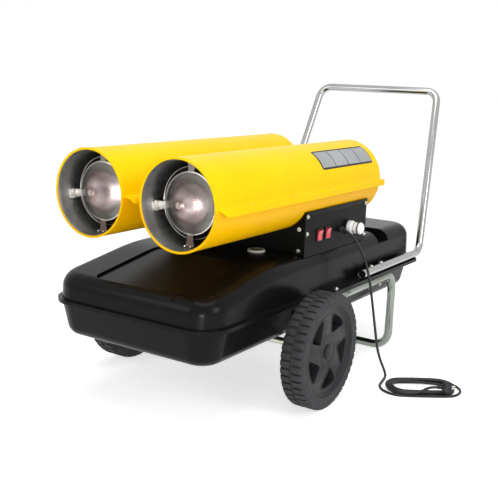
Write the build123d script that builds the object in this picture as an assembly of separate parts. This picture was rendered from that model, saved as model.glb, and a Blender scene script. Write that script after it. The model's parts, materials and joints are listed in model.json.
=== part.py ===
from build123d import *
import os
from math import cos, hypot, pi, radians, sin, sqrt, tan

# Twin-barrel forced air oil heater on two wheels and a bent tube leg.
# Millimetres, +Z up, the outlets face -Y and the handle is at +Y. The origin lies on the
# floor under the middle of the heater. "Left" is +X, the side of the control panel.

# ---- overall places -----------------------------------------------------------------
front_reach = 513.5  # wheel axle to the front edge of the tank
rear_reach = 1210.0  # wheel axle to the back of the handle bar
axle_y = (front_reach - rear_reach) / 2
seat_gap = 0.3  # curved faces that seat on each other
run_gap = 0.05  # radial clearance of a shaft in its bore

# ---- barrels ------------------------------------------------------------------------
barrel_radius = 140.0
barrel_pitch = 348.0
barrel_height = 701.5
barrel_length = 1070.0
outlet_overhang = 474.0  # the outlets stand this far ahead of the axle
sheet = 1.5
seam_width = 19.0  # flange along each seam
seam_lead = 40.0  # the flange tapers in over this length at each end
lip_width = 9.0  # turned-in front rim
lip_depth = 3.0
liner_share = 0.654  # of the barrel's length
liner_gap = 5.0  # air space between liner and shell
liner_sheet = 1.0
bead_width = 8.0
screw_count = 4  # screws along each seam flange
screw_radius = 2.0
screw_head_radius = 3.8
screw_head = 2.6
cover_screw_length = 6.0

# ---- combustion ---------------------------------------------------------------------
chamber_radius = 100.0
chamber_start = 76.0  # behind the outlet rim
chamber_share = 0.477  # of the barrel's length
cone_radius = 95.0
cone_rim_depth = 68.0  # rim of the nose cone behind the outlet rim
cone_tip_depth = 4.0
cone_tip_radius = 16.0
tab_width = 24.0
tab_foot = 20.0
stay_width = 14.0
burner_radius = 46.0
burner_flange_radius = 60.0
burner_reach = 40.0  # of the burner tube into the chamber
burner_tail = 70.0
turbulator_vanes = 8

# ---- fan drive ----------------------------------------------------------------------
pump_share = 0.645  # pump front behind the outlet rim, of the barrel's length
pump_size = 50.0
pump_body_length = 52.0
pump_corner = 8.0
pump_neck_radius = 24.0
pump_neck_length = 16.0
pump_socket_depth = 12.0
motor_radius = 54.0
motor_length = 122.0
motor_cap = 8.0  # end caps stand in from the body by this much
shaft_radius = 7.0
bracket_width = 30.0
bracket_sheet = 3.0
fan_gap = 20.0  # motor to fan hub
fan_hub_radius = 27.0
fan_hub_length = 46.0
fan_blades = 6
fan_blade_width = 62.0
fan_blade_sheet = 2.5
fan_blade_root = 6.0  # blade set into the hub
fan_pitch = 34.0  # degrees
fan_tip_gap = 7.0
grille_inset = 14.0  # grille behind the rear rim
grille_wire = 3.0
grille_rings = 9
grille_hub_radius = 22.0
grille_spokes = 4

# ---- tank ---------------------------------------------------------------------------
flange_bottom = 339.3
flange_thick = 12.0
flange_half_width = 336.0
flange_corner = 110.0
tank_length = 1498.0
ear_half_width = 371.0  # the flange is wider where the tubes clamp it
ear_front = 150.0  # behind the axle
ear_rear = 905.0
tank_wall = 5.0
body_inset = 14.0  # body stands in from the flange edge
tank_floor = 225.0
tank_top = 488.0
upper_draft = 3.0  # degrees
lower_draft = 12.0
shoulder_radius = 52.0
belly_radius = 40.0
slope_start = -140.0  # the top falls towards the front from here, behind the axle
slope_drop = 62.0  # fall of the top at the front edge
slope_blend = 900.0
scoop_half_width = 165.0  # shallow panel sunk in the sloping top
scoop_front = 36.0
scoop_length = 330.0
scoop_depth = 7.0
scoop_corner = 30.0
filler_x = 232.0
filler_back = 662.0  # behind the axle
filler_recess_radius = 46.0
filler_recess_depth = 40.0
neck_radius = 28.5
neck_bore = 26.0
neck_height = 18.0
cap_sheet = 3.5
cap_gap = 0.4
cap_ribs = 24
cap_rib_depth = 2.0
strainer_depth = 66.0
strainer_sheet = 1.0
drain_x = 255.0
drain_back = 600.0
drain_radius = 9.0

# ---- fuel gauge ---------------------------------------------------------------------
gauge_x = 140.0
gauge_back = 12.0
gauge_radius = 29.0
gauge_height = 5.0
gauge_face = 1.2  # dial above the tank's top
gauge_stem_radius = 12.0
gauge_stem = 52.0
lens_sheet = 1.8
needle_length = 19.0
needle_width = 2.4
needle_tail = 5.0
needle_boss = 4.0
gauge_post = 1.5  # pivot pin of the needle
arm_radius = 2.5
arm_length = 190.0
arm_low = 58.0  # degrees below level when the tank is empty
float_radius = 20.0
float_length = 56.0

# ---- suction lines ------------------------------------------------------------------
line_radius = 4.0
line_bore = 2.8
line_foot_radius = 12.0
line_foot_height = 34.0
line_foot_clear = 10.0
line_cap_radius = 18.0
line_cap_height = 4.0
fitting_radius = 8.0
fitting_height = 14.0

# ---- control housing ----------------------------------------------------------------
housing_half_width = 300.0
housing_front = 60.0  # behind the axle
housing_length = 460.0
housing_ridge = 628.0  # height of the web between the barrels
housing_wall = 2.0
housing_opening_margin = 22.0
panel_top = 634.0
panel_bottom = 478.0
panel_return = 42.0
panel_sheet = 1.5
saddle_gap = 2.0  # panel to barrel
bolt_radius = 3.0
bolt_head = 4.0
bolt_head_radius = 5.5
saddle_bolt_places = (112.0, 400.0)  # behind the axle
switch_backs = (155.0, 214.0)
switch_height = 546.0
switch_width = 35.0
switch_tall = 44.0
switch_depth = 26.0
bezel = 2.5
bezel_height = 4.0
switch_back = 6.0  # back wall of the switch box
rocker_width = 27.0
rocker_tall = 35.0
rocker_thick = 12.0
rocker_tilt = 7.0
rocker_pin = 1.5
rocker_gap = 0.6
rocker_pin_reach = 1.2  # of the pin past each side of the rocker
rocker_pin_depth = 2.0  # pin behind the panel's face
rocker_swing = 2.2  # room above and below the rocker
gland_back = 312.0
gland_height = 545.0
gland_radius = 12.0
gland_length = 24.0
gland_nut = 8.0
gland_sheet = 1.5  # sleeve round the cord at its thin end
gland_sink = 2.0  # root of the sleeve inside the nut
gland_droop = 20.0  # degrees, the sleeve leans down with the cord
socket_back = 366.0
socket_height = 546.0
socket_radius = 28.0
socket_length = 8.0
plug_radius = 24.5
plug_length = 55.0
plug_nose_radius = 19.0
plug_nose = 14.0
controller_size = (64.0, 110.0, 46.0)
transformer_size = (70.0, 90.0, 56.0)
electric_x = 62.0
electric_corner = 5.0
controller_back = 150.0
transformer_back = 400.0

# ---- tube work ----------------------------------------------------------------------
tube_radius = 16.0
tube_wall = 2.0
tube_x = 354.0
tube_bend = 65.0
leg_back = 687.0
frame_front = -75.0
handle_front = 414.0
handle_bend_back = 941.6
handle_top_half = 285.0
handle_top_height = 1029.0
handle_bend = 55.0
clamp_bolt_backs = (482.0, 569.0)
flange_bolt_back = 205.0
frame_bolt_radius = 4.0
frame_bolt_gap = 0.3
nut_radius = 7.5
nut_height = 6.5

# ---- wheels -------------------------------------------------------------------------
wheel_radius = 195.0
wheel_width = 81.0
wheel_face_x = 454.0
tyre_inner = 150.0
tread_depth = 6.0
tread_lugs = 46
tread_groove = 8.0
tread_shoulder = 6.0
rim_inset = 11.0
rim_band = 16.0
rim_disc = 30.0
rim_edge = 4.0  # rim ends inside the tyre's sides
hub_dish = 6.0  # hub face behind the spokes' face
rim_windows = 5
window_turn = 70.0  # where the first window starts
window_inner = 58.0
window_outer = 127.0
window_angle = 50.0  # of its outer arc
window_tip = 43.0  # its inner corner is this far round from its start
window_corner = 11.0
hub_radius = 34.0
axle_radius = 12.5
axle_collar_radius = 18.0
axle_collar = 10.0
hub_side_gap = 0.5
hanger_sheet = 6.0
hanger_half_width = 34.0
hanger_boss = 26.0
washer_radius = 20.0
washer = 2.5
pin_radius = 2.0
hub_cap_radius = 25.0
hub_cap_height = 14.0

# ---- mains cord ---------------------------------------------------------------------
cord_radius = 4.75
floor_gap = 0.15
coil_centre = (635.0, 358.0)  # x, and distance behind the axle
coil_turn = 35.0  # degrees from +X to the long way of the coil
coil_half_run = 52.0  # half of a straight side
coil_reach = 16.0  # the first loop reaches further out at both ends
coil_outer = 75.0  # outermost side to the middle line
coil_step = 5.2  # the side moves in by this much each half turn
coil_half_turns = 5  # half turns in each layer
coil_layer = 10.1
coil_entry = 185.0  # degrees from +X, where the lead joins the first bend
coil_lead_in = 10.0
coil_tail = 10.0
mains_plug_gap = 0.3  # plug to the loops that it lies on
mains_plug_radius = 19.0
mains_plug_length = 46.0
prong_radius = 2.4
prong_length = 19.0
prong_spacing = 19.0

lead_first_run = 21.0  # straight out of the gland
lead_last_run = 24.0  # straight into the coil
# x, distance behind the axle, height: down from the panel, past the tubes to the floor
lead_route = [
    (366.0, 314.5, 513.0),
    (383.0, 321.0, 483.0),
    (396.0, 333.0, 445.0),
    (406.0, 346.0, 399.0),
    (413.0, 359.0, 347.0),
    (419.0, 370.0, 288.0),
    (426.0, 380.0, 222.0),
    (434.0, 387.0, 160.0),
    (439.0, 401.0, 97.0),
    (450.0, 406.0, 60.0),
    (465.0, 403.0, 35.0),
    (480.0, 392.0, 19.0),
    (492.0, 372.0, 9.0),
]

# ---- worked out ---------------------------------------------------------------------
barrel_front = axle_y - outlet_overhang
barrel_rear = barrel_front + barrel_length
shell_inner = barrel_radius - sheet
liner_radius = shell_inner - liner_gap
liner_inner = liner_radius - liner_sheet
seam_edge = barrel_radius + seam_width
chamber_rear = barrel_front + chamber_start + chamber_share * barrel_length
pump_front = barrel_front + pump_share * barrel_length
pump_rear = pump_front + pump_body_length
motor_front = pump_rear + pump_neck_length
motor_rear = motor_front + motor_length
fan_front = motor_rear + fan_gap
flange_top = flange_bottom + flange_thick
tank_front = axle_y - front_reach
tank_middle = tank_front + tank_length / 2
frame_height = flange_bottom - seat_gap - tube_radius
handle_height = flange_top + seat_gap + tube_radius
recess_floor = tank_top - filler_recess_depth
neck_top = recess_floor + neck_height
housing_y = (axle_y + housing_front, axle_y + housing_front + housing_length)
saddle_radius = barrel_radius + seat_gap
barrel_bottom = barrel_height - barrel_radius
line_y = (pump_front + pump_rear) / 2
pump_bottom = barrel_height - pump_size / 2
sides = (("left", 1), ("right", -1))


# ---- plain shapes -------------------------------------------------------------------
def block(x, y, z):
    """Block between two limits on each axis."""
    size = (x[1] - x[0], y[1] - y[0], z[1] - z[0])
    return Pos((x[0] + x[1]) / 2, (y[0] + y[1]) / 2, (z[0] + z[1]) / 2) * Box(*size)


def rod_x(radius, x, y, z):
    return Pos((x[0] + x[1]) / 2, y, z) * Rot(0, 90, 0) * Cylinder(radius, x[1] - x[0])


def rod_y(radius, x, y, z):
    return Pos(x, (y[0] + y[1]) / 2, z) * Rot(90, 0, 0) * Cylinder(radius, y[1] - y[0])


def rod_z(radius, x, y, z):
    return Pos(x, y, (z[0] + z[1]) / 2) * Cylinder(radius, z[1] - z[0])


def pipe_y(outer, inner, x, y, z):
    return rod_y(outer, x, y, z) - rod_y(inner, x, y, z)


def spin(radius_and_y, x, z):
    """Turned piece about the Y direction from points (radius, y)."""
    outline = Polyline(*[(r, y) for r, y in radius_and_y], close=True)
    return Pos(x, 0, z) * revolve(make_face(outline), Axis.Y)


def group(pieces):
    return Compound(children=list(pieces))


def bent_tube(points, bend, outer, inner):
    """Tube along straight runs with rounded bends."""
    path = FilletPolyline(*points, radius=bend)
    end = Plane(path @ 0, z_dir=path % 0)
    return sweep(end * Circle(outer), path=path) - sweep(end * Circle(inner), path=path)


def hexagon(radius, x, y, z):
    """Hexagonal prism standing on Z."""
    return Pos(x, y, z[0]) * extrude(RegularPolygon(radius, 6), amount=z[1] - z[0])


# ---- barrels ------------------------------------------------------------------------
def seam_flange(x, side, z):
    """Flange along one side of a seam, tapered in at both ends."""
    root = x + side * (shell_inner + sheet / 2)
    edge = x + side * seam_edge
    start = x + side * barrel_radius
    outline = Polyline(
        (root, barrel_front),
        (start, barrel_front),
        (edge, barrel_front + seam_lead),
        (edge, barrel_rear - seam_lead),
        (start, barrel_rear),
        (root, barrel_rear),
        close=True,
    )
    return Pos(0, 0, z) * extrude(make_face(outline), amount=sheet)


def seam_screw_places(x):
    step = (barrel_length - 2 * seam_lead) / screw_count
    for side in (-1, 1):
        for k in range(screw_count):
            along = barrel_front + seam_lead + step * (k + 0.5)
            yield x + side * (barrel_radius + seam_width / 2), along


def half_shell(x, upper):
    """Half of a barrel's outer casing, with its rim lip and seam flanges."""
    length = (barrel_front, barrel_rear)
    lip = (barrel_front, barrel_front + lip_depth)
    casing = pipe_y(barrel_radius, shell_inner, x, length, barrel_height)
    casing += pipe_y(barrel_radius, barrel_radius - lip_width, x, lip, barrel_height)
    reach = barrel_radius + seam_width
    end = barrel_height + reach if upper else barrel_height - reach
    half = sorted((barrel_height, end))
    shell = casing & block((x - reach, x + reach), length, half)
    for side in (-1, 1):
        shell += seam_flange(x, side, barrel_height if upper else barrel_height - sheet)
    hole = screw_radius + seat_gap
    holes = (barrel_height - 2 * sheet, barrel_height + 2 * sheet)
    shell -= [rod_z(hole, sx, sy, holes) for sx, sy in seam_screw_places(x)]
    if not upper:
        below = (barrel_bottom - sheet, barrel_bottom + 3 * sheet)
        shell -= rod_z(line_radius + seat_gap, x, line_y, below)
        bolt_hole = bolt_radius + seat_gap
        shell -= [rod_z(bolt_hole, x, axle_y + p, below) for p in saddle_bolt_places]
    return shell


def inner_liner(x):
    """Air duct inside the casing, seated on a rolled bead at each end."""
    start = barrel_front + lip_depth + seat_gap
    end = start + liner_share * barrel_length
    tube = pipe_y(liner_radius, liner_inner, x, (start, end), barrel_height)
    seat = shell_inner - seat_gap
    for bead in ((start, start + bead_width), (end - bead_width, end)):
        tube += pipe_y(seat, liner_inner, x, bead, barrel_height)
    return tube


def combustion_chamber(x):
    """Burner can, open to the front, on four stays in the liner."""
    start = barrel_front + chamber_start
    can = pipe_y(chamber_radius, chamber_radius - sheet, x, (start, chamber_rear), barrel_height)
    back = (chamber_rear - sheet, chamber_rear)
    can += pipe_y(chamber_radius, burner_radius + seat_gap, x, back, barrel_height)
    stay_end = liner_inner - seat_gap
    stay_y = (chamber_rear - 2 * stay_width, chamber_rear - stay_width)
    for k in range(4):
        stay = block(
            (chamber_radius - sheet / 2, stay_end),
            stay_y,
            (-sheet, sheet),
        )
        can += Pos(x, 0, barrel_height) * Rot(0, 90 * k, 0) * stay
    return can


def nose_cone(x):
    """Spun cone with a small round tip, hung in the liner by four bent tabs."""
    rim_y = barrel_front + cone_rim_depth
    tip_y = barrel_front + cone_tip_depth
    tip_base = tip_y + cone_tip_radius * 0.35
    skin = [
        (0.0, tip_y),
        (cone_tip_radius * 0.6, tip_y + 1.0),
        (cone_tip_radius, tip_base),
        (cone_radius, rim_y - 2.0),
        (cone_radius, rim_y),
        (cone_radius - 2.5, rim_y),
        (cone_tip_radius - 1.0, tip_base + 3.0),
        (cone_tip_radius * 0.5, tip_y + 4.0),
        (0.0, tip_y + 3.2),
    ]
    cone = spin(skin, x, barrel_height)
    foot_top = liner_inner - seat_gap
    foot_half = tab_width / 2
    foot_seat = sqrt(foot_top**2 - foot_half**2)
    for k in range(4):
        arm_x = (cone_radius - 4.0, foot_seat)
        arm = block(arm_x, (rim_y - sheet, rim_y), (-foot_half, foot_half))
        foot = block(
            (foot_seat - sheet, foot_seat),
            (rim_y - tab_foot, rim_y),
            (-foot_half, foot_half),
        )
        cone += Pos(x, 0, barrel_height) * Rot(0, 90 * k, 0) * (arm + foot)
    return cone


def burner_head(x):
    """Nozzle holder tube with its slotted turbulator, bolted behind the chamber."""
    tube_y = (chamber_rear - burner_reach, chamber_rear + burner_tail)
    head = pipe_y(burner_radius, burner_radius - sheet, x, tube_y, barrel_height)
    flange_y = (chamber_rear, chamber_rear + 2 * sheet)
    head += pipe_y(burner_flange_radius, burner_radius - sheet, x, flange_y, barrel_height)
    disc_y = (tube_y[0], tube_y[0] + 2 * sheet)
    nozzle_y = (tube_y[0] - 4.0, tube_y[1])
    disc = rod_y(burner_radius - sheet / 2, x, disc_y, barrel_height)
    slot = block((burner_radius * 0.42, burner_radius * 0.86), disc_y, (-1.6, 1.6))
    for k in range(turbulator_vanes):
        disc -= Pos(x, 0, barrel_height) * Rot(0, 360 / turbulator_vanes * k, 0) * slot
    head += disc
    head += rod_y(burner_radius * 0.2, x, nozzle_y, barrel_height)
    rear_disc = (tube_y[1] - 2 * sheet, tube_y[1])
    head += rod_y(burner_radius - sheet / 2, x, rear_disc, barrel_height)
    return head


def oil_pump(x):
    """Gear pump on the front of the motor, its inlet pointing down."""
    half = pump_size / 2
    sides_x = (x - half, x + half)
    body = block(sides_x, (pump_front, pump_rear), (pump_bottom, barrel_height + half))
    body = fillet(body.edges().filter_by(Axis.Y), pump_corner)
    neck = (pump_rear, motor_front)
    body += rod_y(pump_neck_radius, x, neck, barrel_height)
    socket = (motor_front - pump_socket_depth - 1.0, motor_front)
    body -= rod_y(shaft_radius + run_gap, x, socket, barrel_height)
    body += rod_z(fitting_radius, x, line_y, (pump_bottom - fitting_height, pump_bottom))
    return body


def motor(x):
    """Fan motor, bored for its shaft."""
    core = rod_y(motor_radius - motor_cap, x, (motor_front, motor_rear), barrel_height)
    can_y = (motor_front + motor_cap, motor_rear - motor_cap)
    core += rod_y(motor_radius, x, can_y, barrel_height)
    return core - rod_y(shaft_radius + run_gap, x, (motor_front, motor_rear), barrel_height)


def motor_bracket(x):
    """Ring round the motor with four arms out to the casing."""
    middle = (motor_front + motor_rear) / 2
    ring_y = (middle - bracket_width / 2, middle + bracket_width / 2)
    inner = motor_radius + seat_gap
    ring = pipe_y(inner + bracket_sheet, inner, x, ring_y, barrel_height)
    reach = shell_inner - seat_gap
    foot_half = 10.0
    foot_seat = sqrt(reach**2 - foot_half**2)
    half = bracket_sheet / 2
    for k in range(4):
        arm = block((inner + 1.0, foot_seat), ring_y, (-half, half))
        foot = block((foot_seat - bracket_sheet, foot_seat), ring_y, (-foot_half, foot_half))
        ring += Pos(x, 0, barrel_height) * Rot(0, 45 + 90 * k, 0) * (arm + foot)
    return ring


def motor_shaft(x):
    start = motor_front - pump_socket_depth
    end = fan_front + fan_hub_length + 4.0
    return rod_y(shaft_radius, x, (start, end), barrel_height)


def fan(x):
    """Axial fan with pitched blades on a round hub."""
    hub_y = (fan_front, fan_front + fan_hub_length)
    wheel = rod_y(fan_hub_radius, x, hub_y, barrel_height)
    middle = (hub_y[0] + hub_y[1]) / 2
    tip = shell_inner - fan_tip_gap
    corner = hypot(tip, fan_blade_width / 2)
    blade_end = tip * tip / corner
    half = fan_blade_width / 2
    thick = (-fan_blade_sheet / 2, fan_blade_sheet / 2)
    blade = block((fan_hub_radius - fan_blade_root, blade_end), thick, (-half, half))
    tip_round = rod_y(tip, 0, (-half, half), 0)
    for k in range(fan_blades):
        turned = (Rot(fan_pitch, 0, 0) * blade) & tip_round
        wheel += Pos(x, middle, barrel_height) * Rot(0, 360 / fan_blades * k, 0) * turned
    return wheel - rod_y(shaft_radius + 0.02, x, hub_y, barrel_height)


def rear_grille(x):
    """Wire guard: rings on crossed spokes, seated in the rear of the casing."""
    wire_y = (barrel_rear - grille_inset, barrel_rear - grille_inset + grille_wire)
    outer = shell_inner - seat_gap
    guard = pipe_y(outer, outer - 2 * grille_wire, x, wire_y, barrel_height)
    guard += pipe_y(grille_hub_radius, grille_hub_radius - 2 * grille_wire, x, wire_y, barrel_height)
    step = (outer - grille_hub_radius) / grille_rings
    for k in range(1, grille_rings):
        ring = grille_hub_radius + k * step
        guard += pipe_y(ring, ring - grille_wire, x, wire_y, barrel_height)
    half = grille_wire / 2
    for k in range(grille_spokes):
        spoke = block((grille_hub_radius - grille_wire, outer - grille_wire), wire_y, (-half, half))
        for turn in (0, 180):
            angle = 180 / grille_spokes * k + turn
            guard += Pos(x, 0, barrel_height) * Rot(0, angle, 0) * spoke
    return guard


def seam_screw(x, y):
    head = (barrel_height + sheet, barrel_height + sheet + screw_head)
    shank = (barrel_height - 3 * sheet, barrel_height + sheet)
    return rod_z(screw_head_radius, x, y, head) + rod_z(screw_radius, x, y, shank)


def saddle_bolt(x, back):
    """Bolt through the bottom of a barrel and the saddle under it, with its nut."""
    y = axle_y + back
    head_low = barrel_bottom + sheet + seat_gap
    skin_low = barrel_bottom - seat_gap - housing_wall
    shank_low = skin_low - nut_height - 2.0
    bolt = rod_z(bolt_head_radius, x, y, (head_low, head_low + bolt_head))
    bolt += rod_z(bolt_radius, x, y, (shank_low, head_low))
    nut_z = (skin_low - seat_gap - bolt_head, skin_low - seat_gap)
    nut = hexagon(bolt_head_radius + 1.0, x, y, nut_z) - rod_z(bolt_radius + run_gap, x, y, nut_z)
    return bolt, nut


# ---- tank ---------------------------------------------------------------------------
def rim_edges(body, faces):
    """Edges round the outside of a run of neighbouring faces."""
    edges = [edge for face in faces for edge in face.edges()]
    return [e for e in edges if sum(e.is_same(other) for other in edges) == 1]


def plan_outline(inset):
    half = flange_half_width - body_inset - inset
    length = tank_length - 2 * (body_inset + inset)
    return RectangleRounded(2 * half, length, flange_corner - body_inset - inset)


def lower_body(inset):
    """Lower half of the moulding, drawn in towards the floor."""
    depth = flange_bottom - tank_floor - inset
    plane = Plane((0, tank_middle, flange_bottom), x_dir=(1, 0, 0), z_dir=(0, 0, -1))
    body = extrude(plane * plan_outline(inset), amount=depth, taper=lower_draft)
    floor = body.faces().sort_by(Axis.Z)[0]
    return body.fillet(belly_radius - inset, floor.edges())


def top_profile(inset):
    """Side view of the tank's top: level, then falling towards the front."""
    rear = tank_middle + tank_length / 2 + 20
    front = tank_front - 20
    top = tank_top - inset
    slope_y = axle_y + slope_start
    fall = slope_drop * (slope_y - front) / (slope_y - tank_front)
    outline = Polyline(
        (front, flange_bottom),
        (rear, flange_bottom),
        (rear, top),
        (slope_y, top),
        (front, top - fall),
        close=True,
    )
    face = make_face(Plane.YZ * outline)
    knee = face.vertices().sort_by_distance((0, slope_y, top))[0]
    face = fillet(knee, slope_blend)
    return extrude(face, amount=flange_half_width, both=True)


def upper_body(inset):
    """Upper half of the moulding, with a round shoulder."""
    plane = Plane((0, tank_middle, flange_top), x_dir=(1, 0, 0), z_dir=(0, 0, 1))
    body = extrude(plane * plan_outline(inset), amount=tank_top - flange_top, taper=upper_draft)
    body = body & top_profile(inset)
    tops = [f for f in body.faces() if f.normal_at().Z > 0.9]
    return body.fillet(shoulder_radius - inset, rim_edges(body, tops))


def tank_flange():
    plate = RectangleRounded(2 * flange_half_width, tank_length, flange_corner)
    flange = Pos(0, tank_middle, flange_bottom) * extrude(plate, amount=flange_thick)
    ear_length = ear_rear - ear_front
    ear_plate = RectangleRounded(2 * ear_half_width, ear_length, 24.0)
    ear_middle = axle_y + (ear_front + ear_rear) / 2
    flange += Pos(0, ear_middle, flange_bottom) * extrude(ear_plate, amount=flange_thick)
    return flange


def slope_plane():
    """Plane of the sloping front of the top, its origin at the tank's front edge."""
    run = slope_start + front_reach
    along = Vector(0, run, slope_drop).normalized()
    normal = Vector(0, -slope_drop, run).normalized()
    return Plane((0, tank_front, tank_top - slope_drop), x_dir=(1, 0, 0), z_dir=normal), along


def fuel_tank():
    """Hollow moulded tank, with its flange, filler neck and holes."""
    tank = lower_body(0) + tank_flange() + upper_body(0)
    plane, along = slope_plane()
    scoop = RectangleRounded(2 * scoop_half_width, scoop_length, scoop_corner)
    middle = body_inset + scoop_front + scoop_length / 2
    tank -= plane * Pos(0, middle, -scoop_depth) * extrude(scoop, amount=4 * scoop_depth)
    neck_y = axle_y + filler_back
    recess_z = (recess_floor, tank_top + 1)
    tank -= rod_z(filler_recess_radius, filler_x, neck_y, recess_z)
    reach = (neck_y - filler_recess_radius, neck_y + filler_recess_radius)
    tank -= block((filler_x, flange_half_width), reach, recess_z)
    cavity = lower_body(tank_wall) + upper_body(tank_wall)
    opening = plan_outline(tank_wall)
    cavity += Pos(0, tank_middle, flange_bottom) * extrude(opening, amount=flange_thick)
    recess_under = (recess_floor - tank_wall, tank_top)
    cavity -= rod_z(filler_recess_radius + tank_wall, filler_x, neck_y, recess_under)
    under_y = (reach[0] - tank_wall, reach[1] + tank_wall)
    cavity -= block((filler_x, flange_half_width), under_y, recess_under)
    wide, long = 2 * (scoop_half_width + tank_wall), scoop_length + 2 * tank_wall
    scoop_wall = extrude(RectangleRounded(wide, long, scoop_corner), amount=4 * scoop_depth)
    cavity -= plane * Pos(0, middle, -scoop_depth - tank_wall) * scoop_wall
    tank -= cavity
    tank += rod_z(neck_radius, filler_x, neck_y, (recess_floor - tank_wall, neck_top))
    tank -= rod_z(neck_bore, filler_x, neck_y, (recess_floor - 2 * tank_wall, neck_top))
    wall_z = (tank_top - 2 * tank_wall, tank_top + 1)
    tank -= rod_z(gauge_stem_radius + seat_gap, gauge_x, axle_y + gauge_back, wall_z)
    for _, side in sides:
        tank -= rod_z(line_foot_radius + seat_gap, side * barrel_pitch / 2, line_y, wall_z)
    floor_z = (tank_floor - 1, tank_floor + 2 * tank_wall)
    tank -= rod_z(drain_radius + seat_gap, drain_x, axle_y + drain_back, floor_z)
    ear_z = (flange_bottom - 1, flange_top + 1)
    for _, side in sides:
        for back in (flange_bolt_back, *clamp_bolt_backs):
            hole = frame_bolt_radius + frame_bolt_gap
            tank -= rod_z(hole, side * tube_x, axle_y + back, ear_z)
    return tank


def filler_cap():
    """Ribbed cap that drops over the neck."""
    y = axle_y + filler_back
    inner = neck_radius + cap_gap
    outer = inner + cap_sheet
    top = neck_top + strainer_sheet + seat_gap
    cap = rod_z(outer, filler_x, y, (recess_floor + 1.0, top + cap_sheet))
    cap -= rod_z(inner, filler_x, y, (recess_floor + 1.0, top))
    for k in range(cap_ribs):
        turn = radians(360 / cap_ribs * k)
        centre = (filler_x + outer * cos(turn), y + outer * sin(turn))
        cap -= rod_z(cap_rib_depth * 0.8, *centre, (recess_floor + 4.0, top + cap_sheet))
    return cap


def filler_strainer():
    """Basket that hangs in the neck by its rim."""
    y = axle_y + filler_back
    outer = neck_bore - seat_gap
    low = neck_top - strainer_depth
    basket = rod_z(outer, filler_x, y, (low, neck_top))
    basket += rod_z(neck_radius, filler_x, y, (neck_top, neck_top + strainer_sheet))
    hollow = (low + strainer_sheet, neck_top + strainer_sheet)
    return basket - rod_z(outer - strainer_sheet, filler_x, y, hollow)


def drain_plug():
    y = axle_y + drain_back
    head = hexagon(drain_radius + 5.0, drain_x, y, (tank_floor - 8.0, tank_floor))
    return head + rod_z(drain_radius, drain_x, y, (tank_floor, tank_floor + tank_wall))


def gauge_body():
    """Gauge cup on the tank's top, with a stem that carries the float's pivot."""
    y = axle_y + gauge_back
    cup = rod_z(gauge_radius, gauge_x, y, (tank_top, tank_top + gauge_height))
    face = tank_top + gauge_face
    cup -= rod_z(gauge_radius - 3.0, gauge_x, y, (face, tank_top + gauge_height))
    cup += rod_z(gauge_stem_radius, gauge_x, y, (tank_top - gauge_stem, tank_top))
    slot = (tank_top - gauge_stem - 1, tank_top - gauge_stem + 22)
    cup -= block((gauge_x - 20, gauge_x + 20), (y - 4.0, y + 4.0), slot)
    pivot = float_pivot()
    cup -= rod_y(arm_radius + run_gap, gauge_x, (y - 20, y + 20), pivot)
    post = (face, face + 1.6)
    return cup + rod_z(gauge_post, gauge_x, y, post)


def gauge_lens():
    y = axle_y + gauge_back
    low = tank_top + gauge_height - lens_sheet
    return rod_z(gauge_radius - 3.0 - seat_gap, gauge_x, y, (low, tank_top + gauge_height + 0.5))


def gauge_needle():
    y = axle_y + gauge_back
    low = tank_top + gauge_face + seat_gap
    thick = (low, low + 1.0)
    wide = (y - needle_width / 2, y + needle_width / 2)
    needle = block((gauge_x - needle_length, gauge_x + needle_tail), wide, thick)
    needle += rod_z(needle_boss, gauge_x, y, thick)
    return needle - rod_z(gauge_post + run_gap, gauge_x, y, thick)


def float_pivot():
    return tank_top - gauge_stem + 8.0


def float_arm():
    """Wire arm, hanging at its low stop, with a round float on its end."""
    y = axle_y + gauge_back
    arm = rod_x(arm_radius, (-arm_length, -arm_radius), 0, 0)
    arm += Pos(-arm_length, 0, 0) * Cylinder(float_radius, float_length)
    arm += rod_y(5.0, 0, (-3.5, 3.5), 0)
    arm += rod_y(arm_radius, 0, (-9.0, 9.0), 0)
    return Pos(gauge_x, y, float_pivot()) * Rot(0, -arm_low, 0) * arm


def suction_line(x):
    """Dip tube from a strainer foot near the tank floor up to the pump inlet."""
    low = tank_floor + tank_wall + line_foot_clear
    tube = rod_z(line_radius, x, line_y, (low, pump_bottom - fitting_height))
    tube += rod_z(line_foot_radius, x, line_y, (low, low + line_foot_height))
    tube += rod_z(line_cap_radius, x, line_y, (tank_top, tank_top + line_cap_height))
    return tube - rod_z(line_bore, x, line_y, (low, pump_bottom - fitting_height))


# ---- control housing ----------------------------------------------------------------
def saddles(radius):
    longer = (housing_y[0] - 20, housing_y[1] + 20)
    return [rod_y(radius, side * barrel_pitch / 2, longer, barrel_height) for _, side in sides]


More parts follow.
